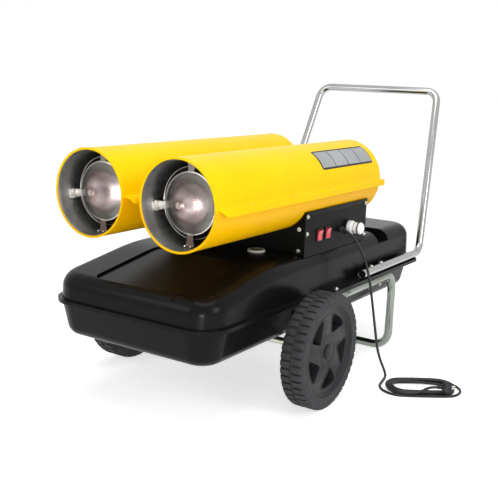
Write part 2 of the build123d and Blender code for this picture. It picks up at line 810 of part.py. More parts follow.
def control_housing():
    """Folded steel base under both barrels, open behind the cover panel."""
    w, wall = housing_half_width, housing_wall
    shell = block((-w, w), housing_y, (tank_top, panel_top)) - saddles(saddle_radius)
    ridge_half = barrel_pitch / 2
    shell -= block((-ridge_half, ridge_half), housing_y, (housing_ridge, panel_top + 1))
    inside_y = (housing_y[0] + wall, housing_y[1] - wall)
    inside = block((-w + wall, w - wall), inside_y, (tank_top + wall, panel_top - wall))
    inside -= saddles(saddle_radius + wall)
    inside -= block((-ridge_half, ridge_half), housing_y, (housing_ridge - wall, panel_top + 1))
    shell -= inside
    margin = housing_opening_margin
    side_y = (housing_y[0] + margin, housing_y[1] - margin)
    side_z = (tank_top + margin, panel_top - 1.4 * margin)
    shell -= block((w - 2 * wall, w + 1), side_y, side_z)
    low = (tank_top - 1, barrel_bottom + 1)
    for _, side in sides:
        x = side * barrel_pitch / 2
        shell -= rod_z(line_cap_radius + seat_gap, x, line_y, (low[0], tank_top + wall + 1))
        shell -= rod_z(line_radius + seat_gap, x, line_y, (low[0] + 30, low[1]))
        hole = bolt_radius + seat_gap
        shell -= [rod_z(hole, x, axle_y + p, (low[0] + 30, low[1])) for p in saddle_bolt_places]
    for y, z in panel_screw_places():
        shell -= rod_x(screw_radius + seat_gap, (w - 2 * wall, w + 1), y, z)
    for x, z in return_screw_places():
        shell -= rod_y(screw_radius + seat_gap, x, (housing_y[0] - 1, housing_y[0] + 2 * wall), z)
    return shell


def panel_screw_places():
    """y and z of the screws through the side of the cover."""
    front, rear = housing_y[0] + 12.0, housing_y[1] - 12.0
    high, low = panel_top - 16.0, tank_top + 12.0
    return ((front, high), (front, (high + low) / 2), (rear, high), (rear, low))


def return_screw_places():
    """x and z of the screws through the cover's front return."""
    x = housing_half_width - panel_return / 2
    return ((x, tank_top + 12.0), (x, tank_top + 86.0))


def cover_panel():
    """Side cover with the switches and sockets, folded round the front corner."""
    w = housing_half_width
    y = (housing_y[0] - panel_sheet, housing_y[1])
    panel = block((w, w + panel_sheet), y, (panel_bottom, panel_top))
    fold = (housing_y[0] - panel_sheet, housing_y[0])
    panel += block((w - panel_return, w + panel_sheet), fold, (tank_top + seat_gap, panel_top))
    panel -= rod_y(barrel_radius + saddle_gap, barrel_pitch / 2, (y[0] - 5, y[1] + 5), barrel_height)
    through = (w - 1, w + panel_sheet + 1)
    for back in switch_backs:
        half_y, half_z = switch_width / 2 - bezel, switch_tall / 2 - bezel
        middle = axle_y + back
        window_y = (middle - half_y - seat_gap, middle + half_y + seat_gap)
        window_z = (switch_height - half_z - seat_gap, switch_height + half_z + seat_gap)
        panel -= block(through, window_y, window_z)
    panel -= rod_x(gland_radius * 0.7 + seat_gap, through, axle_y + gland_back, gland_height)
    panel -= rod_x(plug_nose_radius + 3.0 + seat_gap, through, axle_y + socket_back, socket_height)
    for sy, sz in panel_screw_places():
        panel -= rod_x(screw_radius + seat_gap, through, sy, sz)
    for sx, sz in return_screw_places():
        panel -= rod_y(screw_radius + seat_gap, sx, (fold[0] - 1, fold[1] + 1), sz)
    return panel


def cover_screws():
    outside = housing_half_width + panel_sheet
    front = housing_y[0] - panel_sheet
    for y, z in panel_screw_places():
        head = rod_x(screw_head_radius, (outside, outside + screw_head), y, z)
        yield head + rod_x(screw_radius, (outside - cover_screw_length, outside), y, z)
    for x, z in return_screw_places():
        head = rod_y(screw_head_radius, x, (front - screw_head, front), z)
        yield head + rod_y(screw_radius, x, (front, front + cover_screw_length), z)


def switch_housing(back):
    """Bezel and box of one rocker switch, open at the front."""
    y = axle_y + back
    w = housing_half_width + panel_sheet
    half_y, half_z = switch_width / 2, switch_tall / 2
    low, high = switch_height - half_z, switch_height + half_z
    front = block((w, w + bezel_height), (y - half_y, y + half_y), (low, high))
    body_y = (y - half_y + bezel, y + half_y - bezel)
    body = block((w - switch_depth, w), body_y, (low + bezel, high - bezel))
    space_y = (y - rocker_width / 2 - rocker_gap, y + rocker_width / 2 + rocker_gap)
    space_half = rocker_tall / 2 + rocker_swing
    space_z = (switch_height - space_half, switch_height + space_half)
    space_x = (w - switch_depth + switch_back, w + bezel_height + 1)
    pin_y = (space_y[0] - rocker_pin_reach, space_y[1] + rocker_pin_reach)
    pin = rod_y(rocker_pin + run_gap, w - rocker_pin_depth, pin_y, switch_height)
    return front + body - block(space_x, space_y, space_z) - pin


def rocker(back):
    """Rocker pressed in at its lower end, on a pin through its middle."""
    w = housing_half_width + panel_sheet - rocker_pin_depth
    half_y, half_z = rocker_width / 2, rocker_tall / 2
    outline = Polyline(
        (-6.0, -half_z * 0.5),
        (4.0, -half_z),
        (rocker_thick, -half_z),
        (rocker_thick - 2.5, 0.0),
        (rocker_thick, half_z),
        (4.0, half_z),
        (-6.0, half_z * 0.5),
        close=True,
    )
    body = extrude(make_face(Plane.XZ * outline), amount=half_y, both=True)
    reach = half_y + rocker_pin_reach
    body += rod_y(rocker_pin, 0, (-reach, reach), 0)
    return Pos(w, axle_y + back, switch_height) * Rot(0, rocker_tilt, 0) * body


def gland_axis():
    """Plane at the root of the gland's sleeve, looking out along the cord."""
    turn = radians(gland_droop)
    root = (housing_half_width + panel_sheet + gland_nut, axle_y + gland_back, gland_height)
    return Plane(root, x_dir=(0, 1, 0), z_dir=(cos(turn), 0, -sin(turn)))


def cord_gland():
    """Gland nut with a tapered sleeve round the cord."""
    y = axle_y + gland_back
    w = housing_half_width + panel_sheet
    gland = rod_x(gland_radius, (w, w + gland_nut), y, gland_height)
    gland += rod_x(gland_radius * 0.7, (w - 10.0, w), y, gland_height)
    root = gland_axis()
    sleeve = gland_length - gland_nut
    wide = root.offset(-gland_sink) * Circle(gland_radius * 0.85)
    narrow = root.offset(sleeve) * Circle(cord_radius + gland_sheet)
    return gland + loft([wide, narrow])


def thermostat_socket():
    y = axle_y + socket_back
    w = housing_half_width + panel_sheet
    socket = rod_x(socket_radius, (w, w + socket_length), y, socket_height)
    socket += rod_x(plug_nose_radius + 3.0, (w - 16.0, w), y, socket_height)
    bore = (w + socket_length - plug_nose - 2.0, w + socket_length)
    return socket - rod_x(plug_nose_radius + run_gap, bore, y, socket_height)


def thermostat_plug():
    """Blank plug that closes the thermostat socket."""
    y = axle_y + socket_back
    start = housing_half_width + panel_sheet + socket_length
    body = rod_x(plug_radius, (start, start + plug_length), y, socket_height)
    body = chamfer(body.edges().group_by(Axis.X)[-1], 5.0)
    return body + rod_x(plug_nose_radius, (start - plug_nose, start), y, socket_height)


def electric_box(size, side, back):
    floor = tank_top + housing_wall
    x = side * electric_x
    y = axle_y + back
    box = Pos(x, y, floor + size[2] / 2) * Box(*size)
    return fillet(box.edges().filter_by(Axis.Z), electric_corner)


# ---- tube work ----------------------------------------------------------------------
def bolt_cuts(places, z):
    hole = frame_bolt_radius + frame_bolt_gap
    return [rod_z(hole, side * tube_x, axle_y + back, z) for _, side in sides for back in places]


def chassis_frame():
    """Side runs, U-shaped leg and welded axle hangers."""
    low = tube_radius
    half = [
        (tube_x, axle_y + frame_front, frame_height),
        (tube_x, axle_y + leg_back, frame_height),
        (tube_x, axle_y + leg_back, low),
    ]
    route = half + [(-x, y, z) for x, y, z in reversed(half)]
    tube = bent_tube(route, tube_bend, tube_radius, tube_radius - tube_wall)
    for _, side in sides:
        x = side * tube_x
        plate_x = (x - hanger_sheet / 2, x + hanger_sheet / 2)
        plate_y = (axle_y - hanger_half_width, axle_y + hanger_half_width)
        plate = block(plate_x, plate_y, (wheel_radius, frame_height - tube_radius + 2.0))
        plate += rod_x(hanger_boss, plate_x, axle_y, wheel_radius)
        tube += plate - rod_x(axle_radius + seat_gap, plate_x, axle_y, wheel_radius)
    cuts = (frame_height - tube_radius - 1, frame_height + tube_radius + 1)
    return tube - bolt_cuts((flange_bolt_back, *clamp_bolt_backs), cuts)


def handle_tube():
    """Push handle, one tube bent from open end to open end."""
    half = [
        (tube_x, axle_y + handle_front, handle_height),
        (tube_x, axle_y + handle_bend_back, handle_height),
        (handle_top_half, axle_y + rear_reach - tube_radius, handle_top_height),
    ]
    route = half + [(-x, y, z) for x, y, z in reversed(half)]
    tube = bent_tube(route, handle_bend, tube_radius, tube_radius - tube_wall)
    cuts = (handle_height - tube_radius - 1, handle_height + tube_radius + 1)
    return tube - bolt_cuts(clamp_bolt_backs, cuts)


def frame_bolt(x, back, top):
    """Bolt down through the flange and the frame tube, with its nut."""
    y = axle_y + back
    under = frame_height - tube_radius - seat_gap
    bolt = hexagon(nut_radius, x, y, (top, top + nut_height))
    bolt += rod_z(frame_bolt_radius, x, y, (under - nut_height - 6.0, top))
    nut_z = (under - nut_height, under)
    return bolt, hexagon(nut_radius, x, y, nut_z) - rod_z(frame_bolt_radius + run_gap, x, y, nut_z)


def frame_bolts():
    for _, side in sides:
        for back in clamp_bolt_backs:
            yield from frame_bolt(side * tube_x, back, handle_height + tube_radius + seat_gap)
        yield from frame_bolt(side * tube_x, flange_bolt_back, flange_top)


# ---- wheels -------------------------------------------------------------------------
hub_face = wheel_face_x - rim_inset - hub_dish
hub_back = wheel_face_x - wheel_width + rim_edge


def axle():
    """Fixed axle with a collar inside each wheel."""
    end = hub_face + hub_side_gap + washer + 2 * pin_radius + 3.0
    bar = rod_x(axle_radius, (-end, end), axle_y, wheel_radius)
    for _, side in sides:
        near = hub_back - hub_side_gap
        collar = sorted((side * (near - axle_collar), side * near))
        bar += rod_x(axle_collar_radius, collar, axle_y, wheel_radius)
        pin_x = side * (hub_face + hub_side_gap + washer + 1.0 + pin_radius)
        bar -= rod_z(pin_radius + run_gap, pin_x, axle_y, (wheel_radius - 20, wheel_radius + 20))
    return bar


def axle_retainers():
    """Washer and cross pin at each end of the axle."""
    for _, side in sides:
        near = hub_face + hub_side_gap
        ring_x = sorted((side * near, side * (near + washer)))
        ring = rod_x(washer_radius, ring_x, axle_y, wheel_radius)
        yield ring - rod_x(axle_radius + run_gap, ring_x, axle_y, wheel_radius)
        pin_x = side * (near + washer + 1.0 + pin_radius)
        reach = axle_radius + 4.0
        yield rod_z(pin_radius, pin_x, axle_y, (wheel_radius - reach, wheel_radius + reach))


def tyre(side):
    """Solid tyre with two rows of staggered lugs."""
    inner_x, outer_x = wheel_face_x - wheel_width, wheel_face_x
    middle = (inner_x + outer_x) / 2
    crown = wheel_radius - 7.0
    outline = Polyline(
        (tyre_inner, inner_x),
        (crown, inner_x),
        (wheel_radius, inner_x + 9.0),
        (wheel_radius, outer_x - 9.0),
        (crown, outer_x),
        (tyre_inner, outer_x),
        close=True,
    )
    ring = revolve(make_face(outline), Axis.Y)
    depth = (wheel_radius - tread_depth, wheel_radius + 5.0)
    half = tread_groove / 2
    row_out = block(depth, (middle + 3.0, outer_x - tread_shoulder), (-half, half))
    row_in = block(depth, (inner_x + tread_shoulder, middle - 3.0), (-half, half))
    step = 360 / tread_lugs
    cuts = []
    for k in range(tread_lugs):
        cuts.append(Rot(0, step * k, 0) * row_out)
        cuts.append(Rot(0, step * (k + 0.5), 0) * row_in)
    ring -= cuts
    lay = Pos(0, axle_y, wheel_radius) * Rot(0, 0, -90 * side) * Rot(0, step / 4, 0)
    return lay * ring


def window(depth):
    """One rounded three-cornered opening between two slanting spokes, along Y."""

    def corner(radius, angle):
        return (radius * cos(radians(angle)), -radius * sin(radians(angle)))

    tip = corner(window_inner, window_tip)
    ends = [corner(window_outer, angle) for angle in (0, window_angle)]
    far = [tuple(a + 2 * (b - a) for a, b in zip(tip, end)) for end in ends]
    opening = Circle(window_outer) & make_face(Polyline(tip, *far, close=True))
    opening = fillet(opening.vertices(), window_corner)
    return Rot(90, 0, 0) * extrude(opening, amount=depth, both=True)


def rim(side):
    """Five-spoke centre, turning on the axle."""
    face = wheel_face_x - rim_inset
    back = face - rim_disc
    outer = tyre_inner - run_gap
    outline = Polyline(
        (axle_radius + run_gap, hub_back),
        (hub_radius, hub_back),
        (hub_radius + 4.0, back),
        (outer - rim_band, back),
        (outer - rim_band, hub_back),
        (outer, hub_back),
        (outer, wheel_face_x - rim_edge),
        (outer - 5.0, wheel_face_x - rim_edge),
        (outer - rim_band, face),
        (hub_radius + 16.0, face),
        (hub_radius, hub_face),
        (axle_radius + run_gap, hub_face),
        close=True,
    )
    wheel = revolve(make_face(outline), Axis.Y)
    opening = window(rim_disc * 2)
    middle = (face + back) / 2
    for k in range(rim_windows):
        wheel -= Pos(0, middle, 0) * Rot(0, 360 / rim_windows * k + window_turn, 0) * opening
    return Pos(0, axle_y, wheel_radius) * Rot(0, 0, -90 * side) * wheel


def hub_cap(side):
    """Push-on cap over the axle's end."""
    height = hub_cap_height
    outline = Polyline(
        (washer_radius + 1.5, hub_face),
        (hub_cap_radius, hub_face),
        (hub_cap_radius, hub_face + height - 4.0),
        (hub_cap_radius - 6.0, hub_face + height),
        (0, hub_face + height + 1.0),
        (0, hub_face + height - 1.0),
        (hub_cap_radius - 7.0, hub_face + height - 2.0),
        (washer_radius + 1.5, hub_face + height - 5.0),
        close=True,
    )
    cap = revolve(make_face(outline), Axis.Y)
    return Pos(0, axle_y, wheel_radius) * Rot(0, 0, -90 * side) * cap


# ---- mains cord ---------------------------------------------------------------------
def coil_point(u, n, z):
    """Point given along and across the coil's long way."""
    c, s = cos(radians(coil_turn)), sin(radians(coil_turn))
    return (coil_centre[0] + u * c - n * s, axle_y + coil_centre[1] + u * s + n * c, z)


def coil_sides():
    """Distance of each straight side from the middle line, in winding order."""
    count = coil_half_turns
    inward = [coil_outer - coil_step * k for k in range(count + 1)]
    return inward + inward[-2::-1]


def coil_end(at_right, k):
    """Middle of the bend after side k: the first loop reaches further out."""
    reach = coil_half_run + (coil_reach if k <= 0 else 0)
    return reach if at_right else -reach


def coil_bend(end, arrive, leave, z, start=None):
    """Arc round one end of the coil between two sides."""
    at_right = end > 0
    radius = (arrive + leave) / 2
    front, back = (arrive, leave) if at_right else (leave, arrive)
    middle = (back - front) / 2
    first = (-90 if at_right else 90) if start is None else start
    last = 90 if at_right else 270

    def on_arc(angle):
        turn = radians(angle)
        return coil_point(end + radius * cos(turn), middle + radius * sin(turn), z)

    return ThreePointArc(on_arc(first), on_arc((first + last) / 2), on_arc(last))


def climb(start, end):
    """Level start and level end joined by two arcs in an upright plane."""
    run = hypot(end[0] - start[0], end[1] - start[1])
    rise = end[2] - start[2]
    radius = (run * run + rise * rise) / (4 * abs(rise))
    middle = tuple((a + b) / 2 for a, b in zip(start, end))
    along = ((end[0] - start[0]) / run, (end[1] - start[1]) / run)
    quarter = run / 4
    dip = radius - sqrt(radius * radius - quarter * quarter)
    up = 1 if rise > 0 else -1
    low = (start[0] + along[0] * quarter, start[1] + along[1] * quarter, start[2] + up * dip)
    high = (end[0] - along[0] * quarter, end[1] - along[1] * quarter, end[2] - up * dip)
    return [ThreePointArc(start, low, middle), ThreePointArc(middle, high, end)]


def coil_path():
    """Two layers of long loops, in and out again, then up to the plug."""
    side_list = coil_sides()
    z = cord_radius + floor_gap
    entry = coil_entry - coil_turn
    first_bend = coil_bend(coil_end(False, -1), coil_outer + coil_step, coil_outer, z, entry)
    lead_in = (first_bend @ 0) - (first_bend % 0) * coil_lead_in
    edges = [Line(lead_in, first_bend @ 0), first_bend]
    for k, side_now in enumerate(side_list[:-1]):
        at_front = k % 2 == 0
        along = -side_now if at_front else side_now
        a = (coil_end(not at_front, k - 1), along)
        b = (coil_end(at_front, k), along)
        if k == coil_half_turns:
            edges += climb(coil_point(*a, z), coil_point(*b, z + coil_layer))
            z += coil_layer
        else:
            edges.append(Line(coil_point(*a, z), coil_point(*b, z)))
        edges.append(coil_bend(b[0], side_now, side_list[k + 1], z))
    u, n, top = plug_place()
    edges += climb(coil_point(-coil_half_run, n, z), coil_point(u - coil_tail, n, top))
    edges.append(Line(edges[-1] @ 1, coil_point(u, n, top)))
    return Wire(edges)


def plug_place():
    """Where the cord meets the plug, along, across and above the coil."""
    top = floor_gap + coil_layer + 2 * cord_radius + mains_plug_gap + mains_plug_radius
    return coil_half_run * 0.75, -coil_sides()[-1], top


def self_gap(path, spacing=6.0):
    """Least gap between stretches of a tube that aren't neighbours along it."""
    count = int(path.length / spacing)
    points = [tuple(path @ (k / count)) for k in range(count + 1)]
    apart = int(6 * cord_radius / spacing) + 1
    least = min(
        (a[0] - b[0]) ** 2 + (a[1] - b[1]) ** 2 + (a[2] - b[2]) ** 2
        for i, a in enumerate(points)
        for b in points[i + apart :]
    )
    return sqrt(least) - 2 * cord_radius


def tube_along(path):
    start = Plane(path @ 0, z_dir=path % 0)
    return sweep(start * Circle(cord_radius), path=path)


def lead_path(coil_start, coil_heading):
    """Points and bend radii of the free lead, from the gland to the coil."""
    exit_plane = gland_axis().offset(gland_length - gland_nut)
    points = [exit_plane.origin, exit_plane.offset(lead_first_run).origin]
    points += [Vector(x, axle_y + back, z) for x, back, z in lead_route]
    points += [coil_start - coil_heading * lead_last_run, coil_start]
    radii = []
    for before, here, after in zip(points, points[1:], points[2:]):
        turn = (here - before).get_angle(after - here)
        run = min((here - before).length, (after - here).length)
        radii.append(0.45 * run / tan(radians(turn / 2)))
    print("lead runs", [round((b - a).length) for a, b in zip(points, points[1:])])
    print("lead radii", [round(r) for r in radii])
    return FilletPolyline(*points, radius=radii)


def mains_plug():
    """Plug at the end of the coil, lying on it."""
    heading = Vector(cos(radians(coil_turn)), sin(radians(coil_turn)), 0)
    plane = Plane(coil_point(*plug_place()), x_dir=(0, 0, 1), z_dir=heading)
    sleeve = 16.0
    body = extrude(plane * Circle(cord_radius + 2.5), amount=sleeve)
    grip = plane.offset(sleeve)
    body += loft([grip * Circle(cord_radius + 4.0), grip.offset(14.0) * Circle(mains_plug_radius)])
    body += extrude(grip.offset(14.0) * Circle(mains_plug_radius), amount=mains_plug_length - 30.0)
    face = grip.offset(mains_plug_length - 16.0)
    for side in (-1, 1):
        place = face * Pos(0, side * prong_spacing / 2) * Circle(prong_radius)
        body += extrude(place, amount=prong_length)
    return body


# ---- all nodes ----------------------------------------------------------------------
def all_nodes():
    nodes = {}
    for name, side in sides:
        x = side * barrel_pitch / 2
        nodes[name + "_upper_shell"] = half_shell(x, True)
        nodes[name + "_lower_shell"] = half_shell(x, False)
        nodes[name + "_inner_liner"] = inner_liner(x)
        nodes[name + "_combustion_chamber"] = combustion_chamber(x)
        nodes[name + "_nose_cone"] = nose_cone(x)
        nodes[name + "_burner_head"] = burner_head(x)
        nodes[name + "_oil_pump"] = oil_pump(x)
        nodes[name + "_motor"] = motor(x)
        nodes[name + "_motor_bracket"] = motor_bracket(x)
        nodes[name + "_motor_shaft"] = motor_shaft(x)
        nodes[name + "_fan"] = fan(x)
        nodes[name + "_rear_grille"] = rear_grille(x)
        nodes[name + "_tyre"] = tyre(side)
        nodes[name + "_rim"] = rim(side)
        nodes[name + "_hub_cap"] = hub_cap(side)
    places = [side * barrel_pitch / 2 for _, side in sides]
    nodes["seam_screws"] = group(seam_screw(*p) for x in places for p in seam_screw_places(x))
    bolts = [saddle_bolt(x, back) for x in places for back in saddle_bolt_places]
    nodes["saddle_bolts"] = group(piece for pair in bolts for piece in pair)
    nodes["fuel_tank"] = fuel_tank()
    nodes["filler_cap"] = filler_cap()
    nodes["filler_strainer"] = filler_strainer()
    nodes["drain_plug"] = drain_plug()
    nodes["gauge_body"] = gauge_body()
    nodes["gauge_lens"] = gauge_lens()
    nodes["gauge_needle"] = gauge_needle()
    nodes["float_arm"] = float_arm()
    nodes["suction_lines"] = group(suction_line(x) for x in places)
    nodes["control_housing"] = control_housing()
    nodes["cover_panel"] = cover_panel()
    nodes["cover_screws"] = group(cover_screws())
    nodes["switch_housings"] = group(switch_housing(back) for back in switch_backs)
    nodes["front_rocker"] = rocker(switch_backs[0])
    nodes["rear_rocker"] = rocker(switch_backs[1])
    nodes["cord_gland"] = cord_gland()
    nodes["thermostat_socket"] = thermostat_socket()
    nodes["thermostat_plug"] = thermostat_plug()
    ends = [side for _, side in sides]
    boxes = [electric_box(controller_size, s, controller_back) for s in ends]
    nodes["burner_controllers"] = group(boxes)
    boxes = [electric_box(transformer_size, s, transformer_back) for s in ends]
    nodes["ignition_transformers"] = group(boxes)
    nodes["chassis_frame"] = chassis_frame()
    nodes["handle_tube"] = handle_tube()
    nodes["frame_bolts"] = group(frame_bolts())
    nodes["axle"] = axle()
    nodes["axle_retainers"] = group(axle_retainers())
    coil = coil_path()
    lead = lead_path(coil @ 0, coil % 0)
    nodes["mains_coil"] = tube_along(coil)
    nodes["mains_lead"] = tube_along(lead)
    nodes["mains_plug"] = mains_plug()
    section = pi * cord_radius**2
    print("coil length", round(coil.length, 1), "least self-gap", round(self_gap(coil), 2))
    print("coil volume over section", round(nodes["mains_coil"].volume / section, 1))
    print("lead length", round(lead.length, 1))
    print("lead volume over section", round(nodes["mains_lead"].volume / section, 1))
    return nodes


os.makedirs("parts", exist_ok=True)
for node_name, node_shape in all_nodes().items():
    export_step(node_shape, f"parts/{node_name}.step")
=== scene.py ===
import bpy
import bmesh
import json
from math import cos, pi, radians, sin, sqrt
from mathutils import Matrix, Vector
from mathutils.bvhtree import BVHTree

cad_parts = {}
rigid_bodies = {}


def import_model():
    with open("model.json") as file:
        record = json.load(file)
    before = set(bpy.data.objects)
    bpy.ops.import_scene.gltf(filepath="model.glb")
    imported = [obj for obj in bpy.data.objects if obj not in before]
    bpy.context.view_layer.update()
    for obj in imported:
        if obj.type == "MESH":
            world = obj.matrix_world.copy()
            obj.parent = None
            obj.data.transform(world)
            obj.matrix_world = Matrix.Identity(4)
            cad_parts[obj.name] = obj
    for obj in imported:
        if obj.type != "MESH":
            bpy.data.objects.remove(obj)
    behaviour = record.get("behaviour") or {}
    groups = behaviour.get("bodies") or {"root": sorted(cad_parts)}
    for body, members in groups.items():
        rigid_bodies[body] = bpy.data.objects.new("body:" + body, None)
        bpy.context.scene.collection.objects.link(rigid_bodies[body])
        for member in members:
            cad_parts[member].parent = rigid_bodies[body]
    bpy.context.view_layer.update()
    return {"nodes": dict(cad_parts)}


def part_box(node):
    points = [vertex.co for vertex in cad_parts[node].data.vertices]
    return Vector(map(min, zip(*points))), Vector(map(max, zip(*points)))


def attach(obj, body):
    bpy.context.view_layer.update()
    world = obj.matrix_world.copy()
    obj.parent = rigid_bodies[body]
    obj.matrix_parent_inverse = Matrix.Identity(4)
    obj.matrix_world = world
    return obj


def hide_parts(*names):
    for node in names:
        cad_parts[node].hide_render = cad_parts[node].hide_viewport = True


for thing in list(bpy.data.objects):
    bpy.data.objects.remove(thing, do_unlink=True)

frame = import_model()
scene = bpy.context.scene
print("frame loaded,", len(frame["nodes"]), "nodes")

# Shapes are drawn in millimetres in the row frame and scaled when they become objects.
mm = 0.001
axleY = -348.25
barrelX, barrelZ, barrelRadius = 174.0, 701.5, 140.0
barrelFront, barrelRear = -822.25, 247.75
wheelZ = 195.0
sides = (("left", 1), ("right", -1))


# camera where the photograph was taken from
cameraView = {
    "place": (1.66735, -2.70657, 1.08779),
    "yaw": 33.23,
    "pitch": -11.97,
    "roll": 2.05,
    "lens": 60.66,
}


def makeCamera(view):
    camera = bpy.data.objects.new("camera", bpy.data.cameras.new("camera"))
    camera.data.lens = view["lens"]
    camera.data.sensor_width = 36
    camera.data.clip_end = 100
    turn = Matrix.Rotation(radians(view["yaw"]), 4, "Z")
    turn @= Matrix.Rotation(radians(90 + view["pitch"]), 4, "X")
    turn @= Matrix.Rotation(radians(view["roll"]), 4, "Z")
    camera.matrix_world = Matrix.Translation(view["place"]) @ turn
    scene.collection.objects.link(camera)
    scene.camera = camera


makeCamera(cameraView)


# node helpers for the finishes
def node(tree, kind, sockets=None, **settings):
    made = tree.nodes.new("ShaderNode" + kind)
    for key, value in settings.items():
        setattr(made, key, value)
    for key, value in (sockets or {}).items():
        made.inputs[key].default_value = value
    return made


def srgb(red, green, blue):
    linear = []
    for value in (red, green, blue):
        value /= 255
        linear.append(value / 12.92 if value <= 0.04045 else ((value + 0.055) / 1.055) ** 2.4)
    return (*linear, 1)


def newFinish(name, colour, rough=0.5, metal=0.0, **sockets):
    material = bpy.data.materials.new(name)
    material.use_nodes = True
    shader = material.node_tree.nodes["Principled BSDF"]
    shader.inputs["Base Color"].default_value = colour
    shader.inputs["Roughness"].default_value = rough
    shader.inputs["Metallic"].default_value = metal
    for key, value in sockets.items():
        shader.inputs[key.replace("_", " ")].default_value = value
    return material, material.node_tree, shader


def noise(tree, scale, detail=3, rough=0.5, stretch=None):
    place = node(tree, "TexCoord").outputs["Object"]
    if stretch:
        mapping = node(tree, "Mapping", {"Scale": stretch})
        tree.links.new(place, mapping.inputs["Vector"])
        place = mapping.outputs["Vector"]
    made = node(tree, "TexNoise", {"Scale": scale, "Detail": detail, "Roughness": rough})
    tree.links.new(place, made.inputs["Vector"])
    return made.outputs["Fac"]


def colourBy(tree, shader, field, stops):
    ramp = node(tree, "ValToRGB")
    bar = ramp.color_ramp.elements
    bar[0].position, bar[0].color = stops[0]
    bar[1].position, bar[1].color = stops[-1]
    for position, colour in stops[1:-1]:
        bar.new(position).color = colour
    tree.links.new(field, ramp.inputs["Fac"])
    tree.links.new(ramp.outputs["Color"], shader.inputs["Base Color"])


def roughBy(tree, shader, field, low, high, start=0.3, end=0.7):
    spread = node(tree, "MapRange", {"From Min": start, "From Max": end, "To Min": low, "To Max": high})
    tree.links.new(field, spread.inputs["Value"])
    tree.links.new(spread.outputs["Result"], shader.inputs["Roughness"])


def bumpBy(tree, shader, fields, distance, strength=1.0):
    field = fields[0][0]
    if len(fields) > 1 or fields[0][1] != 1:
        total = None
        for one, share in fields:
            scaled = node(tree, "Math", operation="MULTIPLY")
            scaled.inputs[1].default_value = share
            tree.links.new(one, scaled.inputs[0])
            if total is None:
                total = scaled
            else:
                added = node(tree, "Math", operation="ADD")
                tree.links.new(total.outputs[0], added.inputs[0])
                tree.links.new(scaled.outputs[0], added.inputs[1])
                total = added
        field = total.outputs[0]
    bump = node(tree, "Bump", {"Distance": distance, "Strength": strength})
    tree.links.new(field, bump.inputs["Height"])
    tree.links.new(bump.outputs["Normal"], shader.inputs["Normal"])


def distanceFromAxis(tree, across):
    # how far a point of a turned piece lies from its own axis, as a share of its radius
    place = node(tree, "TexCoord").outputs["Object"]
    split = node(tree, "SeparateXYZ")
    tree.links.new(place, split.inputs[0])
    flat = node(tree, "CombineXYZ")
    tree.links.new(split.outputs["X"], flat.inputs["X"])
    tree.links.new(split.outputs["Z"], flat.inputs["Y"])
    length = node(tree, "VectorMath", operation="LENGTH")
    tree.links.new(flat.outputs[0], length.inputs[0])
    share = node(tree, "Math", operation="MULTIPLY")
    share.inputs[1].default_value = 1 / across
    tree.links.new(length.outputs["Value"], share.inputs[0])
    return share.outputs[0]


# finishes, by the record's slot
# the lower copy of the casing yellow is painted shade: the same paint made deeper orange for the half that
# faces down
paintLook = {
    "upper": srgb(250, 206, 0),
    "upperDeep": srgb(246, 200, 0),
    "lower": srgb(250, 192, 2),
    "lowerShadedDeep": srgb(247, 185, 0),
    "rough": (0.3, 0.38),
    "shine": 0.07,
}


def casingPaint(name, colour, deep):
    look = paintLook
    material, tree, shader = newFinish(name, colour, Specular_IOR_Level=look["shine"])
    cloud = noise(tree, 5, 4, 0.6)
    colourBy(tree, shader, cloud, [(0.3, deep), (0.7, colour)])
    roughBy(tree, shader, noise(tree, 26, 3), *look["rough"])
    bumpBy(tree, shader, [(noise(tree, 420, 2, 0.5), 1)], 0.00004, 0.25)
    return material


def brushedSteel(name, colour, deep, rough, stretch, scale=60, metal=1.0):
    # sheet steel with fine streaks from rolling
    colour, deep = srgb(*colour), srgb(*deep)
    material, tree, shader = newFinish(name, colour, metal=metal)
    streaks = noise(tree, scale, 5, 0.65, stretch)
    stains = noise(tree, 9, 4, 0.6)
    colourBy(tree, shader, stains, [(0.35, deep), (0.65, colour)])
    roughBy(tree, shader, streaks, rough[0], rough[1])
    bumpBy(tree, shader, [(streaks, 1)], 0.00006, 0.6)
    return material


def coneSteel():
    # spun steel with heat colours in rings
    material, tree, shader = newFinish("heatTintedCone", srgb(130, 120, 114), metal=1.0, Anisotropic=0.85)
    share = distanceFromAxis(tree, 0.095)
    wobble = node(tree, "Math", operation="MULTIPLY_ADD")
    wobble.inputs[1].default_value = 0.22
    tree.links.new(noise(tree, 22, 3), wobble.inputs[0])
    tree.links.new(share, wobble.inputs[2])
    stops = [
        (0.08, srgb(186, 174, 168)),
        (0.24, srgb(126, 108, 104)),
        (0.44, srgb(150, 138, 138)),
        (0.64, srgb(122, 108, 106)),
        (0.88, srgb(150, 140, 138)),
        (1.0, srgb(192, 187, 182)),
    ]
    colourBy(tree, shader, wobble.outputs[0], stops)
    rings = node(tree, "TexNoise", {"Scale": 240.0, "Detail": 2}, noise_dimensions="1D")
    tree.links.new(share, rings.inputs["W"])
    roughBy(tree, shader, noise(tree, 30, 4), 0.26, 0.38)
    bumpBy(tree, shader, [(rings.outputs["Fac"], 1)], 0.00004, 0.3)
    spin = node(tree, "Tangent", direction_type="RADIAL", axis="Y")
    tree.links.new(spin.outputs["Tangent"], shader.inputs["Tangent"])
    return material


